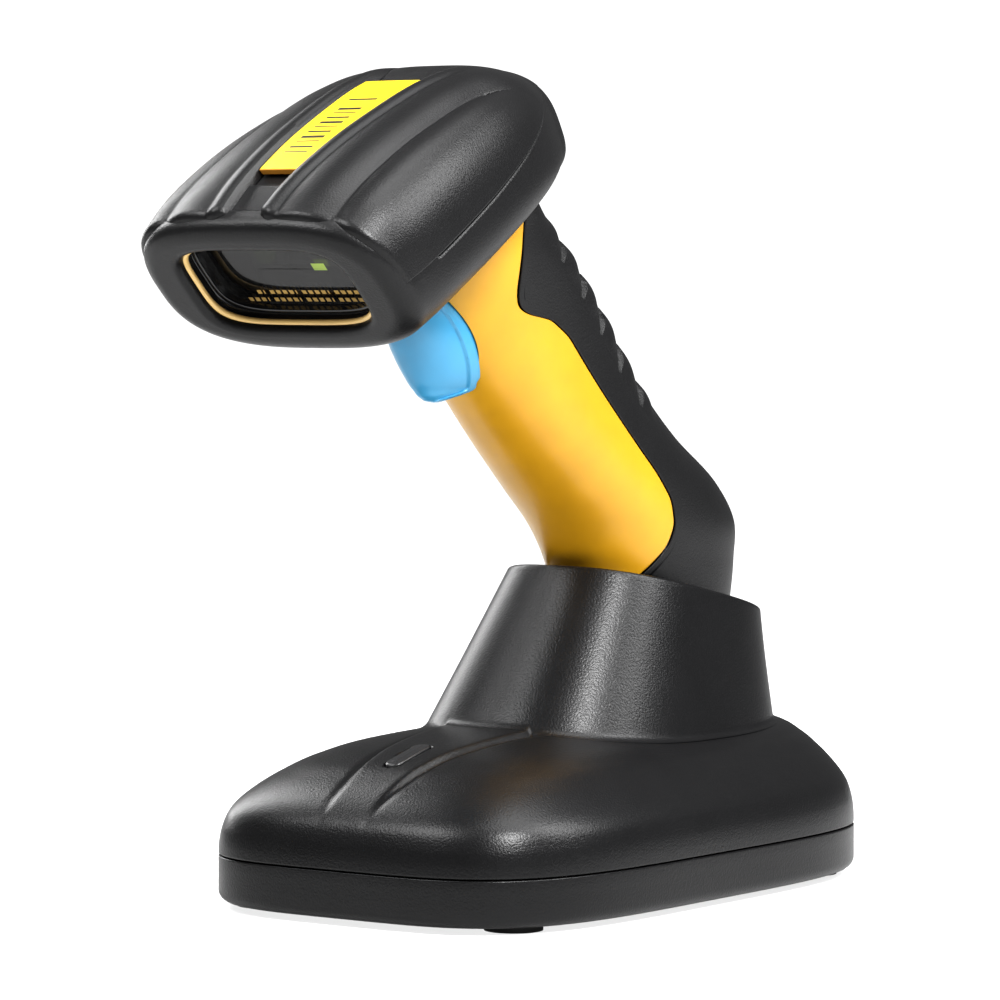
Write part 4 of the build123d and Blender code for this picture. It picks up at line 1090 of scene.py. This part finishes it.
# ---------------------------------------------------------------- optics and the neck collar
# Lens, aiming and flash lamps stand behind the glass; the neck collar is a bright yellow ring
# that closes the joint between the grip and the head.
lens = moulded("coated_lens", (0.05, 0.03, 0.09), 0.05, 3.0, 0.001, Coat_Weight=1.0)
dress(lens, "scan_lens")
lamp = moulded("lamp_lens", (0.75, 0.85, 0.35), 0.12, 1.5, 0.002)
lamp.node_tree.nodes["Principled BSDF"].inputs["Emission Color"].default_value = (0.55, 0.85, 0.12, 1)
lamp.node_tree.nodes["Principled BSDF"].inputs["Emission Strength"].default_value = 0.5
dress(lamp, "flash_leds", "aimer_led")

NECK_PROUD, NECK_BAND, NECK_ROUND = 1.5, 2.4, 0.5


def head_level(point):
    """Superellipse level of the head's skin at a point: under 1 inside it, over 1 outside."""
    dy, dz = point[..., 1] - HEAD_Y, point[..., 2] - HEAD_Z
    f = -dy * np.cos(HEAD_PITCH) - dz * np.sin(HEAD_PITCH)
    u = -dy * np.sin(HEAD_PITCH) + dz * np.cos(HEAD_PITCH)
    half, top, bottom, widest, tilt = head_size(f)
    reach = np.where(u > widest, top - widest, widest - bottom)
    return np.abs(point[..., 0] / half) ** BOTTOM_POWER + np.abs((u - widest) / reach) ** BOTTOM_POWER


def neck_line(inset, drop):
    """Where the grip's section, made smaller by inset, meets the head's skin moved down by drop."""
    low, high = np.full(len(neck_turn), 138.0), np.full(len(neck_turn), 180.0)
    for _ in range(24):
        z = (low + high) / 2
        point = grip_point(neck_turn, z, inset)
        moved = point + np.array([0, -np.sin(HEAD_PITCH), np.cos(HEAD_PITCH)]) * drop
        outside = head_level(moved) > 1
        low, high = np.where(outside, z, low), np.where(outside, high, z)
    return grip_point(neck_turn, (low + high) / 2, inset)


neck_open = 0.62  # the collar's ends stand this far from the middle of the front, in radians
neck_turn = np.linspace(-np.pi / 2 + neck_open, 1.5 * np.pi - neck_open, 170)
neck_rows = [neck_line(0.3, NECK_BAND), neck_line(NECK_ROUND - NECK_PROUD, NECK_BAND)]
for t in np.linspace(0, np.pi / 2, 5)[1:]:
    inset = NECK_ROUND * (1 - np.sin(t)) - NECK_PROUD
    neck_rows.append(neck_line(inset, NECK_BAND - NECK_ROUND * (1 - np.cos(t))))
neck_rows += [neck_line(-NECK_PROUD, drop) for drop in (1.2, 0.6, 0.0, -0.8)]
neck = piece_from("neck_ring", [np.stack(neck_rows)], "scanner", amber)
thicken(neck, 0.9)
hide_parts("neck_collar")
